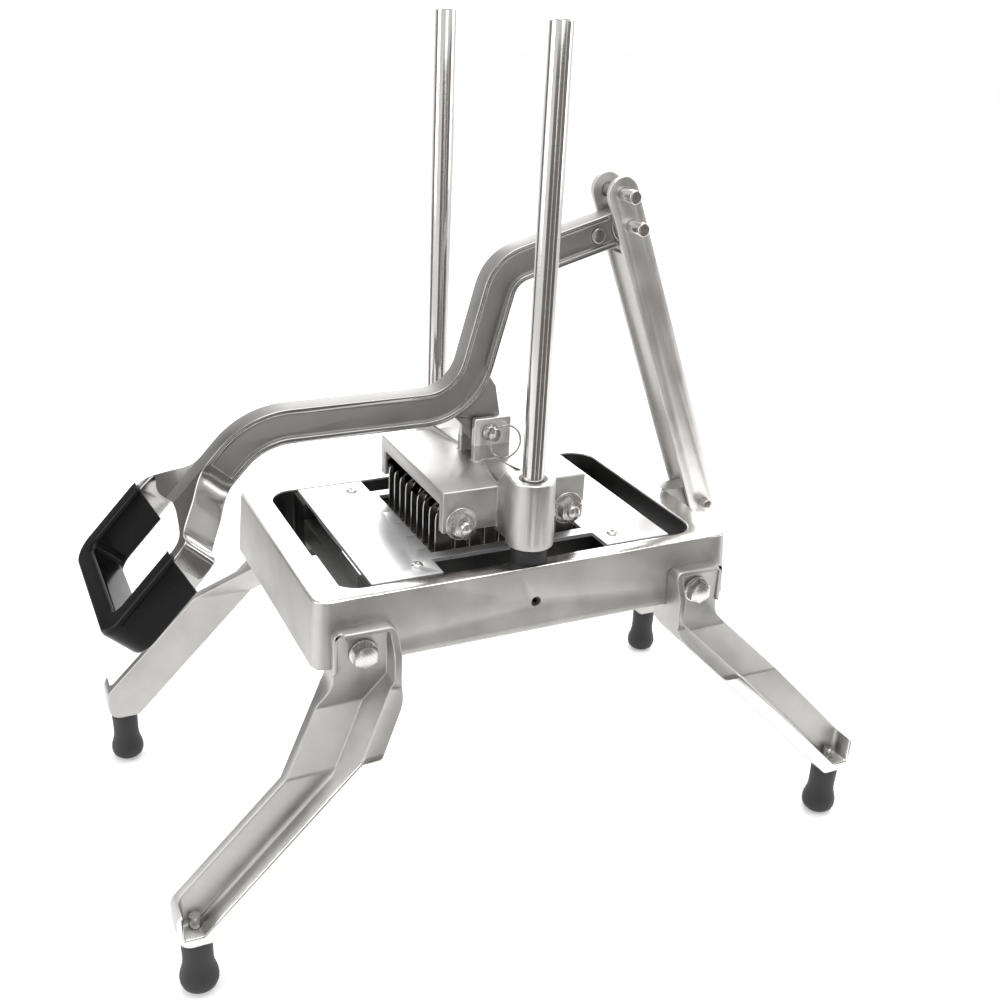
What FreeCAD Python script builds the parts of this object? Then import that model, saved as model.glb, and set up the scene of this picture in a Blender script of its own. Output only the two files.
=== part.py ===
"""A hand-operated vegetable dicer: a cast frame on four legs, a blade grid, and a pusher on two
guide rods that a cast lever presses down.

Units are millimetres. X runs across the dicer, Y from the handle to the rear link, Z up. The floor
under the feet is Z = 0. Sub-parts are drawn about the middle of the frame, and every one of them is
then moved along Y by frame_centre, so that the origin is under the middle of the whole dicer.
"""
import FreeCAD, Part
import math
import os
import re

import Sketcher
from FreeCAD import Placement, Rotation, Vector

doc = FreeCAD.newDocument("VegetableDicer")

# ---------------------------------------------------------------- driving dimensions

SIZES = {
    # whole dicer
    "frame_centre": 7.0,        # Y of the frame's middle
    "side_gap": 0.3,            # free space between faces that move past each other
    # cast frame
    "frame_width": 165.0,
    "frame_length": 264.0,
    "frame_depth": 40.0,
    "deck_height": 206.5,
    "wall_slope": 3.4,          # degrees, the walls spread downwards
    "corner_round": 8.0,
    "window_width": 144.0,
    "window_length": 232.0,
    "window_round": 16.0,
    "pad_inner": 52.0,          # X where the pads under the blade plate begin
    "pad_start": 56.0,          # Y where they begin
    "seat_radius": 12.0,        # boss round each guide rod's foot
    "seat_top": 194.0,
    # lug that the rear link pivots on
    "lug_half": 7.0,
    "lug_top": 205.0,
    "lug_bottom": 181.0,
    "lug_end": 172.0,
    "slot_rise": 3.2,
    # guide rods
    "rod_diameter": 12.7,
    "rod_spacing": 140.8,
    "rod_top": 493.5,
    "rod_foot": 168.0,
    "rod_tip": 1.2,
    "set_screw_radius": 3.0,
    "set_screw_height": 184.5,
    "bumper_radius": 10.5,
    "bumper_top": 216.4,
    # blade plate and blades
    "plate_width": 140.0,
    "plate_length": 192.0,
    "plate_thick": 2.5,
    "notch_half": 53.0,
    "notch_inner": 52.0,
    "cut_width": 88.9,
    "cut_length": 100.0,
    "tail_slit": 0.8,
    "tail_reach": 6.0,
    "pitch": 9.525,
    "blade_thick": 0.6,
    "blade_height": 12.0,
    "slicing_top": 202.5,
    "cross_top": 189.0,
    "screw_radius": 2.0,
    "screw_head": 3.6,
    "screw_head_top": 2.4,
    "screw_head_thick": 1.4,
    "screw_reach": 12.0,
    "plate_screw_x": 57.0,
    "plate_screw_y": 64.0,
    "holder_half": 49.5,
    "holder_wall": 4.0,
    "holder_bottom": 175.0,
    "holder_end": 98.5,
    "holder_bar_top": 194.5,
    # pusher
    "head_half": 50.5,
    "head_back": 46.0,
    "head_top": 245.4,
    "head_roof": 6.0,
    "head_wall": 6.0,
    "cheek_bottom": 220.0,
    "cheek_bevel": 8.0,
    "lip_drop": 3.0,
    "wing_half": 11.5,
    "rib_inner": 4.0,           # half width of the rib beside the clevis
    "rib_rise": 1.2,
    "rib_climb": 46.0,          # X where the rib starts to climb to the boss
    "boss_top": 256.6,
    "boss_top_radius": 12.9,
    "boss_foot_radius": 13.9,
    "boss_foot": 216.7,
    "bush_radius": 8.0,
    "fin_count": 9,
    "fin_thick": 1.2,
    "fin_half": 45.2,
    "fin_top": 236.0,
    "fin_bottom": 198.0,
    "fin_round": 14.0,
    "finger_slot": 2.2,
    "finger_top": 216.0,
    "tie_y": 34.5,
    "tie_z": 225.5,
    "tie_radius": 4.0,
    "tie_washer": 10.0,
    "tie_washer_thick": 1.6,
    "tie_end": 3.0,
    "nut_thick": 6.5,
    "bolt_head": 5.3,
    "hex_flats": 13.0,
    "spacer_radius": 6.5,
    # clevis on the pusher and its quick-release pin
    "clevis_inner": 7.6,
    "clevis_outer": 12.5,
    "clevis_front": -10.0,
    "clevis_back": 14.0,
    "clevis_top": 272.5,
    "press_z": 264.0,           # height of the clevis pin over the floor, at Y = 0
    "pin_radius": 3.97,
    "hole_play": 0.06,
    "pull_pin_end": 20.0,
    "pull_pin_tip": 16.0,
    "pull_head": 5.2,
    "pull_head_thick": 1.6,
    "eye_radius": 1.8,
    "ring_radius": 10.2,
    "ring_wire": 0.8,
    "ring_x": 17.2,
    "ring_lean": 36.0,          # degrees, how far the ring's eye leans back from upright
    # lever
    "arm_height": 20.4,
    "arm_thick": 14.0,
    "arm_rim": 3.0,
    "arm_recess": 2.4,
    "pivot_y": 87.5,
    "pivot_z": 381.0,
    "upper_bend_y": 8.4,
    "upper_bend_z": 358.8,
    "upper_bend_round": 22.0,
    "lower_bend_y": -13.3,
    "lower_bend_z": 279.3,
    "lower_bend_round": 34.0,
    "drop_bend_y": -140.5,
    "drop_bend_round": 46.0,
    "grip_slope": 47.0,         # degrees, the handle's plane below level
    "lug_thick": 11.6,
    "lug_round": 11.0,
    "button_radius": 4.6,
    "button_reach": 20.5,
    "button_rise": 1.2,
    # handle loop, with distances along its own plane from the last bend
    "fork_start": 30.0,
    "palm_end": 61.0,
    "shoulder": 74.0,
    "loop_end": 129.7,
    "loop_half": 54.0,
    "loop_bar": 9.0,
    "loop_height": 20.4,
    "loop_round": 12.0,
    "coat": 2.0,
    "coat_start": 78.6,
    "coat_lean": 18.0,          # degrees, how far the coat's edge leans from square
    "coat_edge": 3.0,
    # rear link
    "base_y": 163.5,
    "base_z": 193.0,
    "link_half": 11.0,
    "link_flange": 3.2,
    "link_width": 20.0,
    "link_web": 3.0,
    "web_inset": 2.6,
    "web_below_pivot": 16.0,
    "web_above_base": 19.5,
    "stop_distance": 20.0,
    "pin_near_end": 24.0,
    "pin_far_end": 14.4,
    "base_pin_near": 17.0,
    "clip_radius": 7.0,
    "clip_thick": 1.0,
    # legs
    "leg_top": 191.0,
    "ear_inner": 89.0,
    "ear_outer": 125.0,
    "ear_front": 92.5,          # X of the ear's crest at its top
    "ear_belly": 100.5,         # X of the inner flange's crest lower down
    "ear_belly_drop": 15.0,
    "ear_floor": 88.0,
    "ear_lip": 90.5,
    "ear_flange": 4.5,
    "ear_rim": 2.5,
    "leg_inner_line": 241.0,    # reach plus height along the leg's lower edge
    "leg_outer_line": 281.0,    # the same along its upper edge
    "leg_back_line": 226.0,     # X plus height along the back of the kick
    "leg_shelf": 72.5,          # X where the ledge under the frame begins
    "leg_toe_outer": 224.0,
    "leg_foot": 37.0,
    "leg_back": 106.0,
    "leg_floor": 112.5,
    "leg_front": 126.0,
    "leg_kick_floor": 146.0,
    "leg_kick_front": 157.0,
    "leg_flange": 8.7,
    "toe_rim": 6.0,
    "toe_side": 3.2,
    "leg_knee": 14.0,
    "toe_round": 8.0,
    "heel_round": 5.0,
    "leg_root": 3.0,            # fillet between the flange and the plate
    "leg_bolt_y": 107.5,
    "leg_bolt_z": 175.5,
    "leg_bolt_radius": 4.0,
    "leg_washer": 8.4,
    "washer_thick": 1.6,
    # feet
    "foot_x": 115.5,
    "foot_y": 213.0,
    "foot_sole": 4.6,
    "foot_bulb": 10.9,
    "foot_bulb_height": 7.6,
    "foot_waist": 8.5,
    "foot_waist_height": 18.0,
    "foot_neck": 8.9,
    "foot_screw_radius": 3.0,
    "foot_screw_bottom": 12.0,
    "foot_screw_top": 50.0,
}

sheet = doc.addObject("Spreadsheet::Sheet", "Sizes")
for row, (alias, value) in enumerate(SIZES.items(), start=1):
    sheet.set("A%d" % row, alias)
    sheet.set("B%d" % row, str(value))
    sheet.setAlias("B%d" % row, alias)
doc.recompute()


def size(alias):
    """The number in the sheet's cell of that name."""
    return float(sheet.get(alias))


def formula(text):
    """A formula written in plain aliases, as the document's expressions want it."""
    def named(word):
        return "Sizes." + word[0] if word[0] in SIZES else word[0]
    return re.sub(r"[a-z][a-z_]*", named, str(text))


# ---------------------------------------------------------------- building blocks

ALONG = {
    "x": Rotation(Vector(0, 1, 0), 90),
    "y": Rotation(Vector(1, 0, 0), -90),
    "z": Rotation(),
}
PLANES = {"xy": "XY_Plane", "xz": "XZ_Plane", "yz": "YZ_Plane"}
finished = []


def bind(thing, **formulas):
    """Tie properties of an object to the sheet."""
    for name, text in formulas.items():
        thing.setExpression(name, formula(text))


def place(thing, point):
    """Tie the three coordinates of an object's place to the sheet."""
    for axis, text in zip("xyz", point):
        thing.setExpression("Placement.Base." + axis, formula(text))


def box(name, low, extent):
    """A block from its lowest corner and its extent along X, Y and Z."""
    block = doc.addObject("Part::Box", name)
    bind(block, Length=extent[0], Width=extent[1], Height=extent[2])
    place(block, low)
    return block


def bar(name, half_x, y_from, y_to, z_from, z_to):
    """A block centred on X = 0."""
    extent = ("2 * (%s)" % half_x, "%s - (%s)" % (y_to, y_from), "%s - (%s)" % (z_to, z_from))
    return box(name, ("-(%s)" % half_x, y_from, z_from), extent)


def cylinder(name, radius, start, length, axis="z"):
    """A round bar from the middle of its first end."""
    rod = doc.addObject("Part::Cylinder", name)
    bind(rod, Radius=radius, Height=length)
    rod.Placement = Placement(Vector(), ALONG[axis])
    place(rod, start)
    return rod


def cone(name, foot_radius, top_radius, start, length):
    """An upright round taper."""
    taper = doc.addObject("Part::Cone", name)
    bind(taper, Radius1=foot_radius, Radius2=top_radius, Height=length)
    place(taper, start)
    return taper


def hexagon(name, across, start, length):
    """A hexagonal bar along X, with the given width across its flats."""
    nut = doc.addObject("Part::Prism", name)
    nut.Polygon = 6
    bind(nut, Circumradius="(%s) / 1.7320508" % across, Height=length)
    nut.Placement = Placement(Vector(), ALONG["x"])
    place(nut, start)
    return nut


def fuse(name, pieces):
    """One solid from pieces that overlap."""
    whole = doc.addObject("Part::MultiFuse", name)
    whole.Shapes = pieces
    return whole


def group(name, pieces):
    """Separate solids that share one node."""
    together = doc.addObject("Part::Compound", name)
    together.Links = pieces
    return together


def cut(name, base, tools):
    """The base without the tools."""
    tool = tools[0] if len(tools) == 1 else fuse(name + "_tools", tools)
    rest = doc.addObject("Part::Cut", name)
    rest.Base = base
    rest.Tool = tool
    return rest


def common(name, first, second):
    """What two solids share."""
    shared = doc.addObject("Part::Common", name)
    shared.Base = first
    shared.Tool = second
    return shared


def tube(name, outer, inner, start, length, axis="z"):
    """A round bar with a bore."""
    return cut(name, cylinder(name + "_out", outer, start, length, axis),
               [cylinder(name + "_in", inner, start, length, axis)])


def mirrored(name, source, normal):
    """The mirror image of an object through the middle of the frame."""
    image = doc.addObject("Part::Mirroring", name)
    image.Source = source
    image.Normal = normal
    return image


def outline(body, plane, corners, offset="0"):
    """A closed sketch with straight sides, each corner tied to the sheet."""
    sketch = body.newObject("Sketcher::SketchObject", body.Name + "_outline")
    role = PLANES[plane]
    sketch.AttachmentSupport = ([f for f in body.Origin.OriginFeatures if f.Role == role][0], [""])
    sketch.MapMode = "FlatFace"
    bind(sketch, **{"AttachmentOffset.Base.z": offset})
    count = len(corners)
    turn = 2 * math.pi / count
    rough = [Vector(90 * math.cos(i * turn), 90 * math.sin(i * turn), 0) for i in range(count)]
    for i in range(count):
        sketch.addGeometry(Part.LineSegment(rough[i], rough[(i + 1) % count]), False)
    for i in range(count):
        sketch.addConstraint(Sketcher.Constraint("Coincident", i, 2, (i + 1) % count, 1))
    for i, corner in enumerate(corners):
        for kind, text in zip(("DistanceX", "DistanceY"), corner):
            number = sketch.addConstraint(Sketcher.Constraint(kind, -1, 1, i, 1, 1.0))
            sketch.setExpression("Constraints[%d]" % number, formula(text))
    return sketch


def prism(name, plane, corners, start, length):
    """A straight-sided outline padded along the plane's normal, from start over length."""
    body = doc.addObject("PartDesign::Body", name)
    sketch = outline(body, plane, corners, start)
    pad = body.newObject("PartDesign::Pad", name + "_pad")
    pad.Profile = sketch
    bind(pad, Length=length)
    return body


def edges_named(shape, wanted):
    """Names of the edges whose middle and direction pass a test."""
    names = []
    for number, edge in enumerate(shape.Edges, start=1):
        middle = edge.valueAt((edge.FirstParameter + edge.LastParameter) / 2)
        along = edge.tangentAt((edge.FirstParameter + edge.LastParameter) / 2)
        if wanted(middle, along):
            names.append("Edge%d" % number)
    return names


def solid_feature(name, shape):
    """An object for a shape that no primitive or sketch feature gives."""
    feature = doc.addObject("Part::Feature", name)
    feature.Shape = shape
    return feature


def finish(node, thing):
    """Name a sub-part for its node and move it with the frame."""
    thing.Label = node
    bind(thing, **{"Placement.Base.y": "frame_centre"})
    finished.append(thing)


# ---------------------------------------------------------------- frame and legs

def wall_at(height):
    """Formula for the outer face's X at a height, on the sloping side wall."""
    return "(frame_width / 2 + (deck_height - %s) * tan(wall_slope * 1 deg))" % height


def make_frame_shell():
    """The frame's four sloping walls round its window."""
    body = doc.addObject("PartDesign::Body", "frame_shell")
    half = ("frame_width / 2", "frame_length / 2")
    corners = [("-" + half[0], "-" + half[1]), (half[0], "-" + half[1]), half, ("-" + half[0], half[1])]
    walls = body.newObject("PartDesign::Pad", "frame_walls")
    walls.Profile = outline(body, "xy", corners, "deck_height")
    walls.Reversed = True
    bind(walls, Length="frame_depth", TaperAngle="wall_slope * 1 deg")
    doc.recompute()

    rounded = body.newObject("PartDesign::Fillet", "frame_corners")
    rounded.Base = (walls, edges_named(walls.Shape, lambda at, along: abs(along.z) > 0.9))
    bind(rounded, Radius="corner_round")

    half = ("window_width / 2", "window_length / 2")
    corners = [("-" + half[0], "-" + half[1]), (half[0], "-" + half[1]), half, ("-" + half[0], half[1])]
    window = body.newObject("PartDesign::Pocket", "frame_window")
    opening = outline(body, "xy", corners, "deck_height")
    window.Profile = opening
    bind(window, Length="frame_depth + 1")
    doc.recompute()

    inside = size("window_width") / 2 + 1
    soft = body.newObject("PartDesign::Fillet", "window_corners")
    soft.Base = (window, edges_named(window.Shape, lambda at, along: abs(along.z) > 0.99
                                     and abs(at.x) < inside))
    bind(soft, Radius="window_round")
    doc.recompute()

    top = size("deck_height") - 0.01
    edge = body.newObject("PartDesign::Chamfer", "deck_edge")
    limit = size("frame_width") / 2 - 10
    edge.Base = (soft, edges_named(soft.Shape, lambda at, along: at.z > top
                                   and (abs(at.x) > limit + 4 or abs(at.y) > size("frame_length") / 2 - 4)))
    edge.Size = 0.9
    return body


def make_base_frame():
    """Frame with its plate pads, rod seats, rear lug and holes."""
    pieces = [make_frame_shell()]
    window_half = "window_width / 2"
    for side in (-1, 1):
        for end in (-1, 1):
            low_x = "pad_inner" if side > 0 else "-(window_width / 2 + 1)"
            low_y = "pad_start" if end > 0 else "-plate_length / 2 - 2"
            pieces.append(box("frame_pad", (low_x, low_y, "deck_height - frame_depth"),
                              ("window_width / 2 + 1 - pad_inner", "plate_length / 2 + 2 - pad_start",
                               "frame_depth - plate_thick")))
        x = "%d * rod_spacing / 2" % side
        pieces.append(cylinder("rod_seat", "seat_radius", (x, "0", "deck_height - frame_depth"),
                               "seat_top - deck_height + frame_depth"))
    lug = prism("frame_lug", "yz", [("frame_length / 2 - 4", "lug_bottom - 6"),
                                    ("frame_length / 2 + 8", "lug_bottom"), ("lug_end", "lug_bottom"),
                                    ("lug_end", "lug_top"), ("frame_length / 2 - 4", "lug_top")],
                "-lug_half", "2 * lug_half")
    pieces.append(lug)
    whole = fuse("frame_blank", pieces)

    holes = [box("seat_trim", ("-frame_width", "-frame_length", "-1"),
                 ("2 * frame_width", "2 * frame_length", "deck_height - frame_depth + 1"))]
    slot_radius = "pin_radius + hole_play + 0.3"
    holes.append(cylinder("lug_slot_end", slot_radius, ("-lug_half - 1", "base_y", "base_z"),
                          "2 * lug_half + 2", "x"))
    holes.append(box("lug_slot", ("-lug_half - 1", "base_y", "base_z - (%s)" % slot_radius),
                     ("2 * lug_half + 2", "lug_end - base_y + 1", "2 * (%s) + slot_rise" % slot_radius)))
    for side in (-1, 1):
        x = "%d * rod_spacing / 2" % side
        holes.append(cylinder("rod_hole", "rod_diameter / 2", (x, "0", "rod_foot"), "frame_depth"))
        holes.append(cylinder("bumper_pocket", "bumper_radius", (x, "0", "seat_top"), "frame_depth"))
        start = "rod_spacing / 2" if side > 0 else "-frame_width / 2 - 10"
        holes.append(cylinder("set_screw_hole", "set_screw_radius", (start, "0", "set_screw_height"),
                              "frame_width / 2 + 10 - rod_spacing / 2", "x"))
        for end in (-1, 1):
            start = "window_width / 2 - 25" if side > 0 else "-frame_width / 2 - 10"
            holes.append(cylinder("leg_bolt_hole", "leg_bolt_radius",
                                  (start, "%d * leg_bolt_y" % end, "leg_bolt_z"),
                                  "frame_width / 2 + 35 - window_width / 2", "x"))
            holes.append(cylinder("plate_screw_hole", "screw_radius",
                                  ("%d * plate_screw_x" % side, "%d * plate_screw_y" % end,
                                   "deck_height - screw_reach - 4"), "frame_depth"))
    finish("base_frame", cut("base_frame", whole, holes))


def soften(name, source, radius_at):
    """Round the edges of an object for which radius_at(middle, width) gives a radius."""
    doc.recompute()
    soft = doc.addObject("Part::Fillet", name)
    soft.Base = source
    chosen = []
    for number, edge in enumerate(source.Shape.Edges, start=1):
        middle = edge.valueAt((edge.FirstParameter + edge.LastParameter) / 2)
        radius = radius_at(middle, edge.BoundBox.XLength)
        if radius:
            chosen.append((number, radius, radius))
    soft.Edges = chosen
    return soft


def behind(corners):
    """The same corners, given as reach and height, on the front side of the frame."""
    return [("-(%s)" % reach, height) for reach, height in corners]


def leg_side():
    """The leg's outline seen from the side, with its ear, two knees and toe rounded."""
    low = "leg_inner_line"
    high = "leg_outer_line"
    corners = [("ear_inner", "leg_top"), ("ear_inner", low + " - ear_inner"),
               (low + " - leg_foot", "leg_foot"), ("leg_toe_outer", "leg_foot"),
               ("leg_toe_outer", high + " - leg_toe_outer"),
               ("ear_outer", high + " - ear_outer"), ("ear_outer", "leg_top")]
    side = prism("leg_side", "yz", behind(corners), "60", "80")

    def radius_at(at, width):
        if width < 1:
            return 0
        if at.z > size("leg_top") - 1:
            return size("heel_round")
        if at.z > size("leg_outer_line") / 2:
            return size("leg_knee")
        return size("heel_round") if at.y > 1 - size("leg_toe_outer") else size("toe_round")
    return soften("leg_side_soft", side, radius_at)


def leg_face():
    """The leg's outline seen from the front: its ledge, its kick and the crest of its flange."""
    wall_top = wall_at("leg_top")
    under = "deck_height - frame_depth"
    wall_foot = wall_at("(%s)" % under)
    corners = [(wall_top, "leg_top"), (wall_foot, under), ("leg_shelf", under),
               ("leg_shelf", "leg_back_line - leg_shelf"), ("leg_back", "leg_back_line - leg_back"),
               ("leg_back", "leg_foot"), ("leg_front", "leg_foot"),
               ("leg_front", "leg_kick_front + ear_belly - leg_front"), ("ear_belly", "leg_kick_front"),
               ("ear_belly", "leg_top - ear_belly_drop"), ("ear_front", "leg_top")]
    return prism("leg_face", "xz", corners, "50", "250")


def leg_hollow():
    """The space outside the leg's plate, which leaves a flange along its lower edge and its toe."""
    reach = "ear_inner + ear_flange"
    slant = "(leg_inner_line + leg_flange * 1.41421356)"
    floor = "leg_foot + toe_rim"
    far = "leg_toe_outer - toe_side"
    open_line = "(leg_outer_line + leg_flange)"
    rim = "ear_outer - ear_rim"
    top = "leg_top - ear_rim"
    side = prism("leg_hollow_side", "yz",
                 behind([(reach, top), (reach, "%s - (%s)" % (slant, reach)),
                         ("%s - (%s)" % (slant, floor), floor), (far, floor),
                         (far, "%s - (%s)" % (open_line, far)), (rim, "%s - (%s)" % (open_line, rim)),
                         (rim, top)]), "60", "80")
    beyond = "leg_front + 5"
    face = prism("leg_hollow_face", "xz",
                 [("ear_floor", "leg_top"), ("ear_floor", "leg_kick_floor"),
                  ("leg_floor", "leg_kick_floor + ear_floor - leg_floor"), ("leg_floor", floor),
                  (beyond, floor), (beyond, "leg_top")], "50", "250")
    space = common("leg_space", side, face)

    def radius_at(at, width):
        return size("leg_root") if abs(at.x - size("leg_floor")) < 0.01 else 0
    return soften("leg_space_soft", space, radius_at)


def make_leg():
    """The front right leg: a plate with a flange along its lower edge, and an ear bolted to the frame."""
    blank = common("leg_blank", leg_side(), leg_face())
    lip = box("leg_lip_space", ("ear_lip", "-leg_outer_line + leg_kick_floor", "leg_kick_floor"),
              ("leg_front - ear_lip", "leg_outer_line - leg_kick_floor - ear_outer + 2 * ear_rim",
               "leg_top - leg_kick_floor + 1"))
    channel = cut("leg_channel", cut("leg_opened", blank, [leg_hollow()]), [lip])
    bolt = cylinder("leg_hole", "leg_bolt_radius", ("60", "-leg_bolt_y", "leg_bolt_z"), "50", "x")
    screw = cylinder("leg_screw_hole", "foot_screw_radius", ("foot_x", "-foot_y", "leg_foot - 1"),
                     "foot_screw_top - leg_foot + 1")
    return cut("leg_front_right", channel, [bolt, screw])


def make_legs():
    """Four legs, the other three being mirror images of the first."""
    first = make_leg()
    rear = mirrored("leg_rear_right", first, Vector(0, 1, 0))
    left = mirrored("leg_front_left", first, Vector(1, 0, 0))
    last = mirrored("leg_rear_left", rear, Vector(1, 0, 0))
    finish("leg_front_right", first)
    for node, thing in (("leg_rear_right", rear), ("leg_front_left", left), ("leg_rear_left", last)):
        bind(thing, **{"Base.y": "frame_centre"})
        thing.Label = node
        finished.append(thing)


def corners_of_frame():
    """The four signs of X and Y at the legs, with the words for their places."""
    return [(side, end, ("rear" if end > 0 else "front") + "_" + ("right" if side > 0 else "left"))
            for end in (-1, 1) for side in (-1, 1)]


def make_leg_fasteners():
    """A hexagon bolt and a washer through each leg's ear into the frame."""
    bolts = []
    washers = []
    tip = "(window_width / 2 + 2)"
    outer = "(ear_floor + washer_thick)"
    for side, end, where in corners_of_frame():
        y = "%d * leg_bolt_y" % end
        z = "leg_bolt_z"
        start = tip if side > 0 else "-" + outer
        shank = cylinder("leg_bolt_shank_" + where, "leg_bolt_radius", (start, y, z), outer + " - " + tip, "x")
        start = outer if side > 0 else "-%s - bolt_head" % outer
        head = hexagon("leg_bolt_head_" + where, "hex_flats", (start, y, z), "bolt_head")
        bolts.append(fuse("leg_bolt_" + where, [shank, head]))
        start = "ear_floor" if side > 0 else "-" + outer
        washers.append(tube("leg_washer_" + where, "leg_washer", "leg_bolt_radius", (start, y, z),
                            "washer_thick", "x"))
    finish("leg_bolts", group("leg_bolts", bolts))
    finish("leg_washers", group("leg_washers", washers))


def foot_rubber(where, x, y):
    """A round rubber body that narrows above a bulb, turned about its own axis."""
    sole = Vector(size("foot_sole"), 0, 0)
    top = Vector(size("foot_neck"), 0, size("leg_foot"))
    bulb = size("foot_bulb")
    middle = size("foot_bulb_height")
    skirt = [sole, Vector(bulb - 0.8, 0, middle * 0.4), Vector(bulb, 0, middle),
             Vector(size("foot_waist"), 0, size("foot_waist_height")), top]
    side = Part.BSplineCurve()
    side.interpolate(skirt)
    edges = [Part.LineSegment(Vector(), sole).toShape(), side.toShape(),
             Part.LineSegment(top, Vector(0, 0, top.z)).toShape(),
             Part.LineSegment(Vector(0, 0, top.z), Vector()).toShape()]
    turned = Part.Face(Part.Wire(edges)).revolve(Vector(), Vector(0, 0, 1), 360)
    rubber = solid_feature("foot_rubber_" + where, turned)
    place(rubber, (x, y, "0"))
    return rubber


def make_feet():
    """A rubber foot with a round bulb under each leg, and the screw that holds it."""
    screws = []
    for side, end, where in corners_of_frame():
        x = "%d * foot_x" % side
        y = "%d * foot_y" % end
        hole = cylinder("foot_hole_" + where, "foot_screw_radius", (x, y, "foot_screw_bottom"), "leg_foot")
        finish("foot_" + where, cut("foot_" + where, foot_rubber(where, x, y), [hole]))
        screws.append(cylinder("foot_screw_" + where, "foot_screw_radius", (x, y, "foot_screw_bottom"),
                               "foot_screw_top - foot_screw_bottom"))
    finish("foot_screws", group("foot_screws", screws))


# ---------------------------------------------------------------- guide rods

def make_guide_rods():
    """Two upright rods, each with its set screw and rubber bumper."""
    screws = []
    for side, word in ((-1, "left"), (1, "right")):
        x = "%d * rod_spacing / 2" % side
        shaft = cylinder("rod_shaft_" + word, "rod_diameter / 2", (x, "0", "rod_foot"),
                         "rod_top - rod_tip - rod_foot")
        tip = cone("rod_tip_" + word, "rod_diameter / 2", "rod_diameter / 2 - rod_tip",
                   (x, "0", "rod_top - rod_tip"), "rod_tip")
        finish("guide_rod_" + word, fuse("guide_rod_" + word, [shaft, tip]))
        ring = tube("rod_bumper_" + word, "bumper_radius", "rod_diameter / 2", (x, "0", "seat_top"),
                    "bumper_top - seat_top")
        finish("rod_bumper_" + word, ring)
        length = "frame_width / 2 - 0.8 - rod_spacing / 2 - rod_diameter / 2"
        start = "rod_spacing / 2 + rod_diameter / 2" if side > 0 else "-frame_width / 2 + 0.8"
        body = cylinder("set_screw_body_" + word, "set_screw_radius", (start, "0", "set_screw_height"),
                        length, "x")
        mouth = "frame_width / 2 - 3.8" if side > 0 else "-frame_width / 2"
        socket = hexagon("set_screw_socket_" + word, "3", (mouth, "0", "set_screw_height"), "3.8")
        screws.append(cut("set_screw_" + word, body, [socket]))
    finish("rod_set_screws", group("rod_set_screws", screws))


# ---------------------------------------------------------------- blades

def make_blade_plate():
    """The bright plate in the frame's window: side notches for the rods, and the cutting opening."""
    blank = bar("plate_blank", "plate_width / 2", "-plate_length / 2", "plate_length / 2",
                "deck_height - plate_thick", "deck_height")
    below = "deck_height - 2 * plate_thick"
    beyond = "3 * plate_thick"
    tools = [bar("plate_opening", "cut_width / 2", "-cut_length / 2", "cut_length / 2",
                 below, "deck_height + 1")]
    for side in (-1, 1):
        low = "notch_inner" if side > 0 else "-plate_width / 2 - 1"
        tools.append(box("plate_notch", (low, "-notch_half", below),
                         ("plate_width / 2 + 1 - notch_inner", "2 * notch_half", beyond)))
        for end in (-1, 1):
            tools.append(cylinder("plate_hole", "screw_radius",
                                  ("%d * plate_screw_x" % side, "%d * plate_screw_y" % end, below), beyond))
    for column in range(-2, 3):
        for end in (-1, 1):
            low_y = "cut_length / 2 - 1" if end > 0 else "-cut_length / 2 - tail_reach"
            tools.append(box("tail_slit", ("%d * 2 * pitch - tail_slit / 2" % column, low_y, below),
                             ("tail_slit", "tail_reach + 1", beyond)))
    finish("blade_plate", cut("blade_plate", blank, tools))


def make_plate_screws():
    """Four small screws that hold the plate on the frame's pads."""
    screws = []
    for side, end, where in corners_of_frame():
        x = "%d * plate_screw_x" % side
        y = "%d * plate_screw_y" % end
        shank = cylinder("plate_screw_shank_" + where, "screw_radius", (x, y, "deck_height - screw_reach"),
                         "screw_reach + screw_head_thick / 2")
        head = cone("plate_screw_head_" + where, "screw_head", "screw_head_top", (x, y, "deck_height"),
                    "screw_head_thick")
        screws.append(fuse("plate_screw_" + where, [shank, head]))
    finish("plate_screws", group("plate_screws", screws))


def blade_row(name, along, top):
    """Ten blades at the pitch, standing on edge and running along X or Y."""
    blades = []
    half_run = "(holder_half - 1)" if along == "x" else "(cut_length / 2 + holder_wall)"
    for number in range(-5, 5):
        middle = "(%d + 0.5) * pitch - blade_thick / 2" % number
        low = ("-" + half_run, middle, top + " - blade_height") if along == "x" else \
              (middle, "-" + half_run, top + " - blade_height")
        extent = ("2 * " + half_run, "blade_thick", "blade_height") if along == "x" else \
                 ("blade_thick", "2 * " + half_run, "blade_height")
        blades.append(box(name + "_blade", low, extent))
    return group(name, blades)


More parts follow.
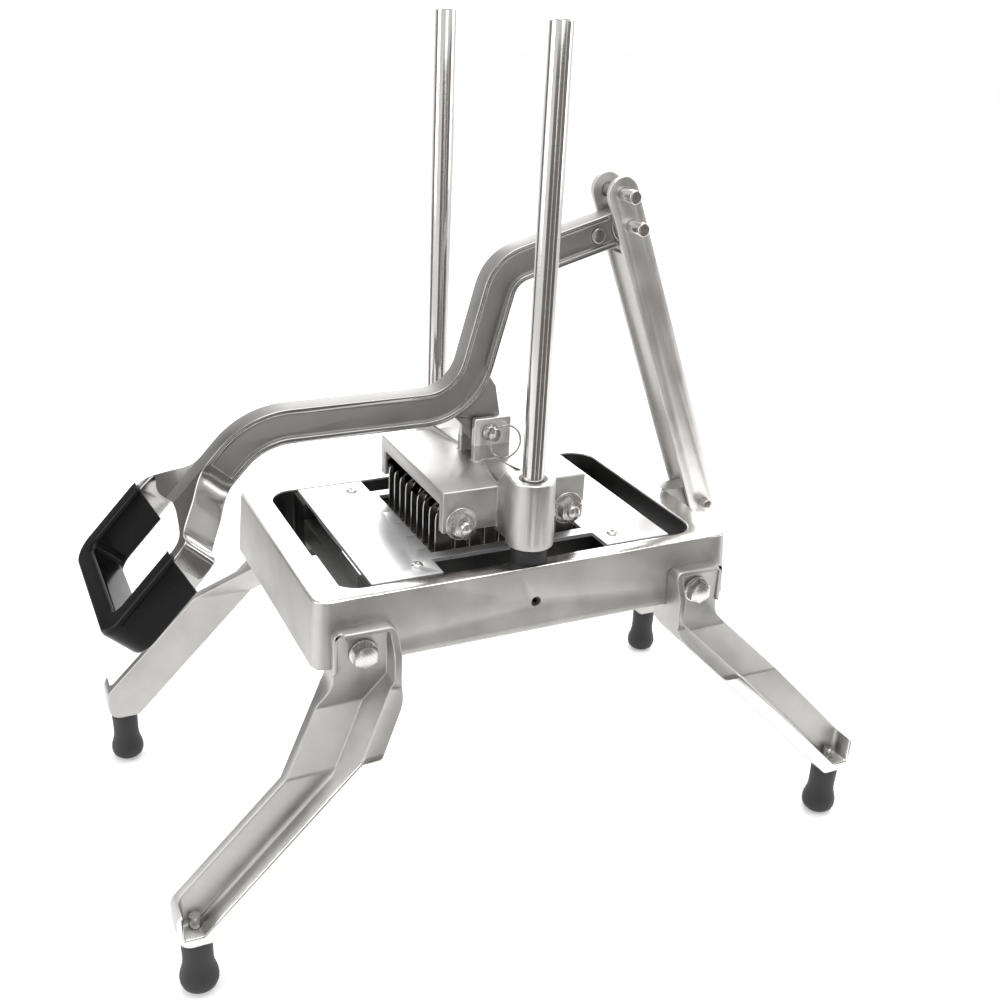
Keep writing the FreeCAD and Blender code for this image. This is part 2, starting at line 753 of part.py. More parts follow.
def make_blades():
    """Slicing blades over cross blades, and the ladder-shaped holder that both are let into."""
    slicing = blade_row("slicing_row", "y", "slicing_top")
    crossing = blade_row("cross_row", "x", "cross_top")
    rails = []
    under = "deck_height - plate_thick"
    for side in (-1, 1):
        low = "holder_half - holder_wall" if side > 0 else "-holder_half"
        rails.append(box("holder_rail", (low, "-holder_end", "holder_bottom"),
                         ("holder_wall", "2 * holder_end", under + " - holder_bottom")))
    for end in (-1, 1):
        low = "cut_length / 2" if end > 0 else "-cut_length / 2 - 1.5 * holder_wall"
        rails.append(box("holder_cross", ("-holder_half", low, "holder_bottom"),
                         ("2 * holder_half", "1.5 * holder_wall", under + " - holder_bottom")))
        low = "holder_end - 2 * holder_wall" if end > 0 else "-holder_end"
        rails.append(box("holder_bar", ("-holder_half", low, "holder_bottom + 6"),
                         ("2 * holder_half", "2 * holder_wall", "holder_bar_top - holder_bottom - 6")))
    trim = []
    for end in (-1, 1):
        low = "holder_end - 2 * holder_wall" if end > 0 else "-holder_end - 1"
        trim.append(box("holder_trim", ("-holder_half - 1", low, "holder_bar_top"),
                        ("2 * holder_half + 2", "2 * holder_wall + 1", "deck_height - holder_bar_top")))
    blank = cut("holder_trimmed", fuse("holder_blank", rails), trim)
    holder = cut("blade_holder", cut("holder_slots", blank, [slicing]), [crossing])
    finish("blade_holder", holder)
    finish("slicing_blades", group("slicing_blades", [slicing]))
    finish("cross_blades", group("cross_blades", [crossing]))


# ---------------------------------------------------------------- pusher

def make_pusher_head():
    """The cast head: a roof with two cheeks, a wing to each rod boss, and the clevis on top."""
    roof = "head_top - head_roof"
    pieces = [bar("head_plate", "head_half", "-head_back", "head_back", roof, "head_top")]
    for end in (-1, 1):
        low = "head_back - 4" if end > 0 else "-head_back"
        pieces.append(box("head_lip", ("-head_half", low, roof + " - lip_drop"),
                          ("2 * head_half", "4", "lip_drop + 1")))
    for side in (-1, 1):
        start = "head_half - head_wall" if side > 0 else "-head_half"
        cheek = [("-head_back", "cheek_bottom"), ("head_back - cheek_bevel", "cheek_bottom"),
                 ("head_back", "cheek_bottom + cheek_bevel"), ("head_back", "head_top - 1"),
                 ("-head_back", "head_top - 1")]
        word = "right" if side > 0 else "left"
        pieces.append(prism("head_cheek_" + word, "yz", cheek, start, "head_wall"))
        low = "head_half - head_wall" if side > 0 else "-rod_spacing / 2"
        pieces.append(box("head_wing", (low, "-wing_half", "boss_foot"),
                          ("rod_spacing / 2 - head_half + head_wall", "2 * wing_half",
                           "head_top - boss_foot")))
        pieces.append(rib_to_boss(word, side))
        x = "%d * rod_spacing / 2" % side
        pieces.append(cone("head_boss", "boss_foot_radius", "boss_top_radius", (x, "0", "boss_foot"),
                           "boss_top - boss_foot"))
        low = "clevis_inner" if side > 0 else "-clevis_outer"
        pieces.append(box("head_ear", (low, "clevis_front", "head_top - 1"),
                          ("clevis_outer - clevis_inner", "clevis_back - clevis_front",
                           "clevis_top - head_top + 1")))
    holes = [cylinder("press_hole", "pin_radius + hole_play", ("-20", "0", "press_z"), "40", "x")]
    for side in (-1, 1):
        x = "%d * rod_spacing / 2" % side
        holes.append(cylinder("bush_hole", "bush_radius", (x, "0", "boss_foot - 1"), "rod_spacing"))
        holes.append(cylinder("tie_hole", "tie_radius", ("-head_half - 1", "%d * tie_y" % side, "tie_z"),
                              "2 * head_half + 2", "x"))
    finish("pusher_head", cut("pusher_head", fuse("head_blank", pieces), holes))


def rib_to_boss(word, side):
    """A low rib across the roof that widens away from the clevis and climbs to the boss."""
    foot = "head_top - 1"
    edge = "rod_spacing / 2 - boss_top_radius"
    profile = [("clevis_inner", foot), ("rod_spacing / 2", foot), ("rod_spacing / 2", "boss_top"),
               (edge, "boss_top"), ("rib_climb", "head_top + rib_rise"), ("clevis_inner", "head_top + rib_rise")]
    plan = [("clevis_inner", "-rib_inner"), ("head_half", "-wing_half"), ("rod_spacing / 2", "-wing_half"),
            ("rod_spacing / 2", "wing_half"), ("head_half", "wing_half"), ("clevis_inner", "rib_inner")]
    if side < 0:
        profile = [("-(%s)" % x, z) for x, z in profile]
        plan = [("-(%s)" % x, y) for x, y in plan]
    height = "boss_top - head_top + 2"
    return common("head_rib_" + word, prism("rib_profile_" + word, "xz", profile, "-wing_half",
                                            "2 * wing_half"),
                  prism("rib_plan_" + word, "xy", plan, foot, height))


def make_rod_bushes():
    """A plain bearing in each rod boss."""
    for side, word in ((-1, "left"), (1, "right")):
        x = "%d * rod_spacing / 2" % side
        bush = tube("rod_bush_" + word, "bush_radius", "rod_diameter / 2 + 0.05",
                    (x, "0", "boss_foot + side_gap"), "boss_top - boss_foot - 2 * side_gap")
        finish("rod_bush_" + word, bush)


def make_fins():
    """The stack of thin plates under the head, slotted from below into fingers."""
    half = "fin_half"
    blank = [("-" + half, "fin_bottom"), (half, "fin_bottom"), (half, "fin_top - fin_round * 0.6"),
             (half + " - fin_round * 0.25", "fin_top - fin_round * 0.15"), (half + " - fin_round * 0.7", "fin_top"),
             ("-" + half + " + fin_round * 0.7", "fin_top"),
             ("-" + half + " + fin_round * 0.25", "fin_top - fin_round * 0.15"),
             ("-" + half, "fin_top - fin_round * 0.6")]
    fins = []
    for number in range(int(size("fin_count"))):
        start = "(%d - (fin_count - 1) / 2) * pitch - fin_thick / 2" % number
        fins.append(prism("fin_%d" % number, "yz", blank, start, "fin_thick"))
    tools = []
    for end in (-1, 1):
        tools.append(cylinder("fin_hole", "tie_radius", ("-60", "%d * tie_y" % end, "tie_z"), "120", "x"))
    for number in range(-4, 4):
        tools.append(box("finger_gap", ("-60", "(%d + 0.5) * pitch - finger_slot / 2" % number,
                                        "fin_bottom - 1"), ("120", "finger_slot",
                                                            "finger_top - fin_bottom + 1")))
    finish("pusher_fins", cut("pusher_fins", group("fin_stack", fins), tools))


def make_tie_bolts():
    """Two long bolts that clamp the fins and their spacers between the cheeks."""
    bolts, nuts, washers, spacers = [], [], [], []
    edge = "head_half + tie_washer_thick"
    for end in (-1, 1):
        word = "rear" if end > 0 else "front"
        y = "%d * tie_y" % end
        length = "2 * (%s) + bolt_head + nut_thick + tie_end - 1" % edge
        shank = cylinder("tie_shank_" + word, "tie_radius", ("-(%s) - bolt_head + 1" % edge, y, "tie_z"),
                         length, "x")
        head = hexagon("tie_head_" + word, "hex_flats", ("-(%s) - bolt_head" % edge, y, "tie_z"), "bolt_head")
        bolts.append(fuse("tie_bolt_" + word, [shank, head]))
        nut = hexagon("tie_nut_blank_" + word, "hex_flats", (edge, y, "tie_z"), "nut_thick")
        hole = cylinder("tie_nut_hole_" + word, "tie_radius", (edge + " - 1", y, "tie_z"), "nut_thick + 2",
                        "x")
        nuts.append(cut("tie_nut_" + word, nut, [hole]))
        for start in ("head_half", "-head_half - tie_washer_thick"):
            washers.append(tube("tie_washer", "tie_washer", "tie_radius", (start, y, "tie_z"),
                                "tie_washer_thick", "x"))
        outermost = "((fin_count - 1) / 2 * pitch + fin_thick / 2)"
        room = "head_half - head_wall - " + outermost
        for start in (outermost, "-head_half + head_wall"):
            spacers.append(tube("end_spacer", "spacer_radius", "tie_radius", (start, y, "tie_z"), room, "x"))
        for number in range(int(size("fin_count")) - 1):
            start = "(%d - (fin_count - 1) / 2) * pitch + fin_thick / 2" % number
            spacers.append(tube("fin_spacer", "spacer_radius", "tie_radius", (start, y, "tie_z"),
                                "pitch - fin_thick", "x"))
    finish("tie_bolts", group("tie_bolts", bolts))
    finish("tie_nuts", group("tie_nuts", nuts))
    finish("tie_washers", group("tie_washers", washers))
    finish("fin_spacers", group("fin_spacers", spacers))


def make_pull_pin():
    """The quick-release pin through the clevis, and the split ring through its end."""
    shaft = cylinder("pull_shaft", "pin_radius", ("-pull_pin_tip", "0", "press_z"),
                     "pull_pin_tip + pull_pin_end", "x")
    flange = cylinder("pull_flange", "pull_head", ("clevis_outer + side_gap", "0", "press_z"),
                      "pull_head_thick", "x")
    eye = cylinder("pull_eye", "eye_radius", ("ring_x", "0", "press_z"), "20", "z")
    eye.Placement = Placement(Vector(), Rotation(Vector(1, 0, 0), -size("ring_lean")))
    place(eye, ("ring_x", "-10 * sin(ring_lean * 1 deg)", "press_z - 10 * cos(ring_lean * 1 deg)"))
    finish("clevis_pin", cut("clevis_pin", fuse("pull_body", [shaft, flange]), [eye]))
    ring = doc.addObject("Part::Torus", "ring_torus")
    bind(ring, Radius1="ring_radius", Radius2="ring_wire")
    ring.Placement = Placement(Vector(), ALONG["x"])
    place(ring, ("ring_x", "ring_radius * cos(ring_lean * 1 deg)",
                 "press_z - ring_radius * sin(ring_lean * 1 deg)"))
    finish("pull_ring", group("pull_ring_node", [ring]))


# ---------------------------------------------------------------- lever

def rounded_path(points, radii):
    """Straight runs through the points, joined by arcs that are tangent to them."""
    edges = []
    last = points[0]
    for before, at, after, radius in zip(points, points[1:], points[2:], radii):
        toward = (before - at).normalize()
        away = (after - at).normalize()
        half = math.acos(max(-1.0, min(1.0, toward.dot(away)))) / 2
        trim = radius / math.tan(half)
        centre = at + (toward + away).normalize() * (radius / math.sin(half))
        start = at + toward * trim
        end = at + away * trim
        middle = centre + (at - centre).normalize() * radius
        edges.append(Part.LineSegment(last, start).toShape())
        edges.append(Part.Arc(start, middle, end).toShape())
        last = end
    edges.append(Part.LineSegment(last, points[-1]).toShape())
    return Part.Wire(edges)


def grip_direction():
    """Unit vectors along the handle's plane, away from the pivot, and square to it."""
    slope = math.radians(size("grip_slope"))
    return (Vector(0, -math.cos(slope), -math.sin(slope)), Vector(0, -math.sin(slope), math.cos(slope)))


def drop_bend():
    """The arm's last bend, where the handle's plane begins."""
    return Vector(0, size("drop_bend_y"), size("lower_bend_z"))


def grip_place():
    """The placement that lays a flat outline, drawn in X and Y, into the handle's plane."""
    away, up = grip_direction()
    turn = FreeCAD.Matrix(1, 0, 0, 0, 0, away.y, -up.y, 0, 0, away.z, -up.z, 0, 0, 0, 0, 1)
    placement = Placement(turn)
    placement.Base = drop_bend()
    return placement


def slab(wire_edges, height):
    """A flat outline in the handle's plane, thickened equally to both sides."""
    face = Part.Face(Part.Wire(wire_edges))
    solid = face.extrude(Vector(0, 0, height))
    solid.translate(Vector(0, 0, -height / 2))
    solid.Placement = grip_place().multiply(solid.Placement)
    return solid


def arm_section(at, along, across):
    """The arm's I-shaped section as a closed wire, square to its path."""
    half_high = size("arm_height") / 2
    half_wide = size("arm_thick") / 2
    inner = half_high - size("arm_rim")
    waist = half_wide - size("arm_recess")
    slant = 0.8
    quarter = [(half_wide, half_high), (half_wide, inner), (waist, inner - slant)]
    ring = quarter + [(wide, -high) for wide, high in reversed(quarter)]
    ring += [(-wide, -high) for wide, high in quarter] + [(-wide, high) for wide, high in reversed(quarter)]
    points = [at + Vector(wide, 0, 0) + across * high for wide, high in ring]
    return Part.Wire(Part.makePolygon(points + points[:1]))


def arm_points():
    """Corners of the arm's centre line, from the pivot to inside the handle."""
    away, up = grip_direction()
    return [Vector(0, size("pivot_y"), size("pivot_z")),
            Vector(0, size("upper_bend_y"), size("upper_bend_z")),
            Vector(0, size("lower_bend_y"), size("lower_bend_z")),
            drop_bend(),
            drop_bend() + away * (size("fork_start") + 12)]


def make_arm():
    """The I-section arm, swept along its bent centre line."""
    points = arm_points()
    path = rounded_path(points, (size("upper_bend_round"), size("lower_bend_round"),
                                 size("drop_bend_round")))
    along = (points[1] - points[0]).normalize()
    across = Vector(1, 0, 0).cross(along)
    start = arm_section(points[0], along, across)
    return path.makePipeShell([start], True, False)


def loop_outline(grow):
    """Outer edge of the handle's fork and loop, grown outwards by grow."""
    half = size("loop_half") + grow
    end = size("loop_end") + grow
    turn = size("loop_round") + grow
    root = size("arm_thick") / 2 + grow
    shoulder = size("shoulder")
    fork = size("fork_start")
    rise = shoulder - fork
    sweep = [Vector(root, fork, 0), Vector(root + 4, fork + 0.22 * rise, 0),
             Vector(0.45 * half, fork + 0.44 * rise, 0), Vector(0.82 * half, fork + 0.76 * rise, 0),
             Vector(half, shoulder + 6, 0)]
    right = Part.BSplineCurve()
    right.interpolate(Points=sweep, InitialTangent=Vector(0, 1, 0), FinalTangent=Vector(0, 1, 0))
    left = Part.BSplineCurve()
    flipped = [Vector(-p.x, p.y, 0) for p in reversed(sweep)]
    left.interpolate(Points=flipped, InitialTangent=Vector(0, -1, 0), FinalTangent=Vector(0, -1, 0))
    lean = turn * (1 - math.sqrt(0.5))
    edges = [right.toShape(),
             Part.LineSegment(sweep[-1], Vector(half, end - turn, 0)).toShape(),
             Part.Arc(Vector(half, end - turn, 0), Vector(half - lean, end - lean, 0),
                      Vector(half - turn, end, 0)).toShape(),
             Part.LineSegment(Vector(half - turn, end, 0), Vector(turn - half, end, 0)).toShape(),
             Part.Arc(Vector(turn - half, end, 0), Vector(lean - half, end - lean, 0),
                      Vector(-half, end - turn, 0)).toShape(),
             Part.LineSegment(Vector(-half, end - turn, 0), flipped[0]).toShape(),
             left.toShape(),
             Part.LineSegment(flipped[-1], sweep[0]).toShape()]
    return edges


def opening_outline(shrink):
    """Edge of the hand opening, pulled in by shrink."""
    half = size("loop_half") - size("loop_bar") - shrink
    end = size("loop_end") - size("loop_bar") - shrink
    start = size("palm_end") + shrink
    turn = 7.0
    lean = turn * (1 - math.sqrt(0.5))
    hip = start + 14
    crown = [Vector(half, hip, 0), Vector(half * 0.72, start + 3.2, 0), Vector(0, start, 0),
             Vector(-half * 0.72, start + 3.2, 0), Vector(-half, hip, 0)]
    arch = Part.BSplineCurve()
    arch.interpolate(Points=crown, InitialTangent=Vector(0, -1, 0), FinalTangent=Vector(0, 1, 0))
    return [arch.toShape(),
            Part.LineSegment(crown[-1], Vector(-half, end - turn, 0)).toShape(),
            Part.Arc(Vector(-half, end - turn, 0), Vector(lean - half, end - lean, 0),
                     Vector(turn - half, end, 0)).toShape(),
            Part.LineSegment(Vector(turn - half, end, 0), Vector(half - turn, end, 0)).toShape(),
            Part.Arc(Vector(half - turn, end, 0), Vector(half - lean, end - lean, 0),
                     Vector(half, end - turn, 0)).toShape(),
            Part.LineSegment(Vector(half, end - turn, 0), crown[0]).toShape()]


def round_bar(radius, length, y, z):
    """A cylinder along X, centred on X = 0."""
    return Part.makeCylinder(radius, length, Vector(-length / 2, y, z), Vector(1, 0, 0))


def make_lever_arm():
    """Arm, pivot eye, press lug and handle loop, cast in one piece."""
    loop = slab(loop_outline(0), size("loop_height")).cut(slab(opening_outline(0), 60))
    eye = round_bar(size("arm_height") / 2 + 1, size("arm_thick"), size("pivot_y"), size("pivot_z"))
    press = size("press_z")
    side = size("lug_round")
    corners = [Vector(0, -side, press), Vector(0, -20, size("lower_bend_z") - 6), Vector(0, -2, press + 38),
               Vector(0, 6, press + 26), Vector(0, 9.5, press + 8), Vector(0, side, press)]
    web = Part.Face(Part.makePolygon(corners + corners[:1])).extrude(Vector(size("lug_thick"), 0, 0))
    web.translate(Vector(-size("lug_thick") / 2, 0, 0))
    foot = round_bar(side, size("lug_thick"), 0, press)
    points = arm_points()
    along = (points[1] - points[0]).normalize()
    spot = points[0] + along * size("button_reach")
    button = round_bar(size("button_radius"), size("arm_thick") + 2 * size("button_rise") - 1.6, spot.y, spot.z)
    lever = make_arm().fuse([loop, eye, web, foot, button])
    lever = lever.cut([round_bar(5.5, 40, size("pivot_y"), size("pivot_z")),
                       round_bar(size("pin_radius") + size("hole_play"), 40, 0, press)])
    finish("lever_arm", solid_feature("lever_arm", lever.removeSplitter()))
    bush = round_bar(5.5, size("arm_thick"), size("pivot_y"), size("pivot_z"))
    bush = bush.cut(round_bar(size("pin_radius") + size("hole_play"), 40, size("pivot_y"), size("pivot_z")))
    finish("lever_bush", solid_feature("lever_bush", bush))


def make_handle_grip():
    """The dipped coat over the loop's two sides and cross bar."""
    coat = size("coat")
    height = size("loop_height")
    skin = slab(loop_outline(coat), height + 2 * coat).cut(slab(opening_outline(coat), 3 * height))
    square = size("coat_start") - height / 2
    skin = skin.cut(half_space(square, 0))
    skin = skin.makeFillet(size("coat_edge"), long_edges(skin, square + 0.01))
    skin = skin.cut(half_space(size("coat_start"), size("coat_lean")))
    core = slab(loop_outline(0), height).cut(slab(opening_outline(0), 3 * height))
    finish("handle_grip", solid_feature("handle_grip", skin.cut(core)))


def half_space(start, lean):
    """Everything nearer the arm than a plane across the handle, leaning towards the arm on top."""
    far = 4 * size("loop_end")
    block = Part.makeBox(2 * far, far, 2 * far, Vector(-far, start - far, -far))
    block.rotate(Vector(0, start, 0), Vector(1, 0, 0), -lean)
    block.Placement = grip_place().multiply(block.Placement)
    return block


def long_edges(shape, start):
    """The coat's edges that run along the loop past start, on its upper and lower faces."""
    away, up = grip_direction()
    chosen = []
    for edge in shape.Edges:
        middle = edge.valueAt((edge.FirstParameter + edge.LastParameter) / 2) - drop_bend()
        along = edge.tangentAt((edge.FirstParameter + edge.LastParameter) / 2)
        if abs(along.dot(up)) < 0.5 and middle.dot(away) > start:
            chosen.append(edge)
    return chosen


# ---------------------------------------------------------------- rear link

def link_direction():
    """Unit vectors down the link, from pivot to base, and out of its front edge."""
    down = Vector(0, size("base_y") - size("pivot_y"), size("base_z") - size("pivot_z")).normalize()
    return down, Vector(0, down.z, -down.y)


def link_block(low, high, top, bottom, front, back):
    """A block in the link's own directions, between two X values."""
    down, forward = link_direction()
    pivot = Vector(0, size("pivot_y"), size("pivot_z"))
    corners = [pivot + down * along + forward * out + Vector(low, 0, 0)
               for along, out in ((top, front), (bottom, front), (bottom, back), (top, back))]
    return Part.Face(Part.makePolygon(corners + corners[:1])).extrude(Vector(high - low, 0, 0))


def make_rear_link():
    """Two side bars joined by a web that is set back from their front edges."""
    down, forward = link_direction()
    pivot = Vector(0, size("pivot_y"), size("pivot_z"))
    base = Vector(0, size("base_y"), size("base_z"))
    length = (base - pivot).Length
    half = size("link_width") / 2
    stop = size("stop_distance")
    outer = size("link_half")
    inner = outer - size("link_flange")
    pieces = []
    for low, high in ((-outer, -inner), (inner, outer)):
        pieces.append(link_block(low, high, -stop, length, half, -half))
        for centre in (pivot - down * stop, base):
            pieces.append(Part.makeCylinder(half, high - low, centre + Vector(low, 0, 0), Vector(1, 0, 0)))
    front = half - size("web_inset")
    pieces.append(link_block(-inner - 0.5, inner + 0.5, size("web_below_pivot"),
                             length - size("web_above_base"), front, front - size("link_web")))
    whole = pieces[0].fuse(pieces[1:])
    bores = [round_bar(size("pin_radius"), 60, centre.y, centre.z)
             for centre in (pivot - down * stop, pivot, base)]
    finish("rear_link", solid_feature("rear_link", whole.cut(bores).removeSplitter()))


def make_link_pins():
    """Stop pin, lever pivot pin and base pin, with a push-on clip on each far end."""
    down = link_direction()[0]
    pivot = Vector(0, size("pivot_y"), size("pivot_z"))
    base = Vector(0, size("base_y"), size("base_z"))
    near = size("pin_near_end")
    places = (("stop_pin", pivot - down * size("stop_distance"), near),
              ("lever_pivot_pin", pivot, near), ("link_base_pin", base, size("base_pin_near")))
    clips = []
    far = size("pin_far_end")
    edge = 0.6
    for node, centre, end in places:
        start = centre - Vector(far, 0, 0)
        shaft = Part.makeCylinder(size("pin_radius"), end + far, start, Vector(1, 0, 0))
        shaft = shaft.makeChamfer(edge, [e for e in shaft.Edges if len(e.Vertexes) == 1])
        finish(node, solid_feature(node, shaft))
        disc = Part.makeCylinder(size("clip_radius"), size("clip_thick"),
                                 centre - Vector(size("link_half") + size("clip_thick"), 0, 0),
                                 Vector(1, 0, 0))
        clips.append(disc.cut(Part.makeCylinder(size("pin_radius"), 60, start, Vector(1, 0, 0))))
    finish("pin_clips", solid_feature("pin_clips", Part.makeCompound(clips)))


# ---------------------------------------------------------------- assembly and export

def make_all():
    """Build every sub-part."""
    make_base_frame()
    make_legs()
    make_leg_fasteners()
    make_feet()
    make_guide_rods()
    make_blade_plate()
    make_plate_screws()
    make_blades()
    make_pusher_head()
    make_rod_bushes()
    make_fins()
    make_tie_bolts()
    make_pull_pin()
    make_lever_arm()
    make_handle_grip()
    make_rear_link()
    make_link_pins()
    doc.recompute()


def check_all():
    """Stop if any object failed or any sub-part isn't a sound solid."""
    for thing in doc.Objects:
        if "Invalid" in thing.State or "Error" in thing.State:
            raise RuntimeError("failed: %s %s" % (thing.Name, thing.State))
    for part in finished:
        if part.Shape.isNull() or not part.Shape.isValid() or not part.Shape.Solids:
            raise RuntimeError("not a sound solid: " + part.Label)


def export_all():
    """Write one STEP file for each sub-part."""
    os.makedirs("parts", exist_ok=True)
    for part in finished:
        part.Shape.exportStep("parts/%s.step" % part.Label)
        box_of = part.Shape.BoundBox
        print("%-18s %2d solids %9.0f mm3  x %7.1f %7.1f  y %7.1f %7.1f  z %6.1f %6.1f" % (
            part.Label, len(part.Shape.Solids), part.Shape.Volume, box_of.XMin, box_of.XMax,
            box_of.YMin, box_of.YMax, box_of.ZMin, box_of.ZMax))


make_all()
check_all()
export_all()
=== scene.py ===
import math

import bmesh
import bpy
from bpy.props import FloatProperty, FloatVectorProperty, IntProperty, PointerProperty
from mathutils import Matrix, Vector


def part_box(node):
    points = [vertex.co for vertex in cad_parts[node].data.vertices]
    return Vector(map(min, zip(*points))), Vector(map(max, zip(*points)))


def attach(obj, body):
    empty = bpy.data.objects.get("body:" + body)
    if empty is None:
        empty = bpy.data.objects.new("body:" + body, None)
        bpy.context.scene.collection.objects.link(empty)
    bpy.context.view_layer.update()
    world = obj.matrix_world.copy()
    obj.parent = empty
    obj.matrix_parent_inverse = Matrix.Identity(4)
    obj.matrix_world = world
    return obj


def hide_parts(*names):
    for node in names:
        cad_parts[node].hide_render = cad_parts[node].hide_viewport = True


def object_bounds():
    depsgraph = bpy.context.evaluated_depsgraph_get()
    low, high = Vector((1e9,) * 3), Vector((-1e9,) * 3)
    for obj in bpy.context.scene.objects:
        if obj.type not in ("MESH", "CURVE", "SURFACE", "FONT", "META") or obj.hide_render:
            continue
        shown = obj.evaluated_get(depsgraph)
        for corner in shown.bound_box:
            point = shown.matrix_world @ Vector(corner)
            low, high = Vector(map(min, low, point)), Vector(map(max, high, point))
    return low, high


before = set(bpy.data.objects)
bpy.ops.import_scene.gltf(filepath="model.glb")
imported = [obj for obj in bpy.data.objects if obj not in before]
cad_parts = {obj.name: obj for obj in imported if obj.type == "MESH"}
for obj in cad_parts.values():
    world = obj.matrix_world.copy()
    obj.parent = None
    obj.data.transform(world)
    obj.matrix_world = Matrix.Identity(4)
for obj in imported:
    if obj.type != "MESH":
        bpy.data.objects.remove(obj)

bl_info = {
    "name": "Vegetable Dicer",
    "version": (1, 0, 0),
    "blender": (4, 5, 0),
    "location": "View3D > Sidebar > Dicer",
    "description": "Builds the visible pieces and finishes of a hand-operated vegetable dicer",
    "category": "Add Mesh",
}

CAD_LOW, CAD_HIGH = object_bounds()
X_AXIS = Vector((1, 0, 0))
Y_AXIS = Vector((0, 1, 0))
Z_AXIS = Vector((0, 0, 1))
CORNERS = ("front_left", "front_right", "rear_left", "rear_right")
SIDES = ("left", "right")


# ---------------------------------------------------------------- what a user would change

class DicerSizes(bpy.types.PropertyGroup):
    """Sizes of the details that are added to the design."""
    frame_edge: FloatProperty(
        name="Frame edge", description="Width of the rounding on the frame's edges",
        default=0.0007, min=0.0, unit="LENGTH")
    leg_edge: FloatProperty(
        name="Leg edge", description="Width of the rounding on the legs' flanges",
        default=0.0009, min=0.0, unit="LENGTH")
    pusher_edge: FloatProperty(
        name="Pusher edge", description="Width of the rounding on the pusher's casting",
        default=0.0010, min=0.0, unit="LENGTH")
    lever_edge: FloatProperty(
        name="Lever edge", description="Width of the rounding on the lever's ribs",
        default=0.0008, min=0.0, unit="LENGTH")
    link_edge: FloatProperty(
        name="Link edge", description="Width of the rounding on the rear link",
        default=0.0006, min=0.0, unit="LENGTH")
    sheet_edge: FloatProperty(
        name="Sheet edge", description="Width of the broken edge on plates and fins",
        default=0.00018, min=0.0, unit="LENGTH")
    nut_chamfer: FloatProperty(
        name="Nut chamfer", description="Chamfer on the corners of nuts and bolt heads",
        default=0.0011, min=0.0, unit="LENGTH")
    fin_shoulder: FloatProperty(
        name="Fin shoulder", description="Width of the rounding on the fins' blunt corners",
        default=0.0045, min=0.0, unit="LENGTH")
    bumper_edge: FloatProperty(
        name="Bumper edge", description="Radius of the rounding on the bumpers' rims",
        default=0.0012, min=0.0, unit="LENGTH")
    rod_chamfer: FloatProperty(
        name="Rod chamfer", description="Chamfer at the top of the guide rods",
        default=0.0012, min=0.0, unit="LENGTH")
    pin_edge: FloatProperty(
        name="Pin edge", description="Radius of the rounding at the ends of the link's pins",
        default=0.0007, min=0.0, unit="LENGTH")
    clevis_edge: FloatProperty(
        name="Clevis pin edge", description="Width of the rounding on the quick-release pin",
        default=0.0004, min=0.0, unit="LENGTH")
    bolt_radius: FloatProperty(
        name="Bolt radius", description="Radius of the tie bolts and the leg bolts",
        default=0.004, min=0.001, unit="LENGTH")
    bolt_dome: FloatProperty(
        name="Bolt dome", description="Height of the dome at the end of a tie bolt",
        default=0.0015, min=0.0, unit="LENGTH")
    screw_radius: FloatProperty(
        name="Screw radius", description="Radius of the plate screws' shanks",
        default=0.002, min=0.001, unit="LENGTH")
    screw_recess: FloatProperty(
        name="Screw recess", description="Depth of the recess in a plate screw's head",
        default=0.0013, min=0.0, unit="LENGTH")
    clip_bore: FloatProperty(
        name="Clip bore", description="Radius of the hole in the push-on clips",
        default=0.00397, min=0.001, unit="LENGTH")
    # Size of the box inside the frame that is painted dark, a painted shade.
    painted_shade_well: FloatVectorProperty(
        name="Well", description="Width and length of the dark inside of the frame", size=2,
        unit="LENGTH", default=(0.1444, 0.2324))
    # Past lever_rim the ribs are polished and painted lighter, a painted highlight; the recess between them
    # keeps a darker colour, a painted shade.
    lever_rim: FloatProperty(
        name="Lever rim", description="Distance from the lever's middle past which its ribs are bright",
        default=0.0062, min=0.0, unit="LENGTH")
    # Past link_rim the link's ears are polished and also painted lighter, a painted highlight.
    link_rim: FloatProperty(
        name="Link rim", description="Distance from the link's middle past which its ears are bright",
        default=0.0105, min=0.0, unit="LENGTH")
    ring_turns: FloatProperty(
        name="Ring turns", description="Turns of wire in the split ring", default=1.8, min=1.0)
    ring_wire: FloatProperty(
        name="Ring wire", description="Thickness of the ring's wire, as a part of the room it has",
        default=0.80, min=0.1, max=1.0)
    ring_flat: FloatProperty(
        name="Ring flatness", description="Width of the ring's wire, as a part of its thickness",
        default=0.65, min=0.1, max=1.0)
    ring_coil: FloatProperty(
        name="Ring coil", description="Distance between the turns of the split ring",
        default=0.00045, min=0.0, unit="LENGTH")
    round_steps: IntProperty(
        name="Round steps", description="Steps round a turned piece", default=72, min=12, max=160)


class DicerColours(bpy.types.PropertyGroup):
    """Base colours of the finishes."""
    cast: FloatVectorProperty(
        name="Casting", description="Polished cast aluminium", subtype="COLOR",
        size=3, min=0.0, max=1.0, default=(0.47, 0.462, 0.45))
    sheet: FloatVectorProperty(
        name="Sheet", description="Bright stainless sheet", subtype="COLOR",
        size=3, min=0.0, max=1.0, default=(0.93, 0.93, 0.93))
    steel: FloatVectorProperty(
        name="Steel", description="Stainless bar and fasteners", subtype="COLOR",
        size=3, min=0.0, max=1.0, default=(0.60, 0.585, 0.57))
    grip: FloatVectorProperty(
        name="Grip", description="Dipped coat of the handle", subtype="COLOR",
        size=3, min=0.0, max=1.0, default=(0.0035, 0.0035, 0.004))
    rubber: FloatVectorProperty(
        name="Rubber", description="Feet and bumpers", subtype="COLOR",
        size=3, min=0.0, max=1.0, default=(0.013, 0.013, 0.014))
    floor: FloatVectorProperty(
        name="Floor", description="Plain pale floor", subtype="COLOR",
        size=3, min=0.0, max=1.0, default=(0.90, 0.90, 0.90))


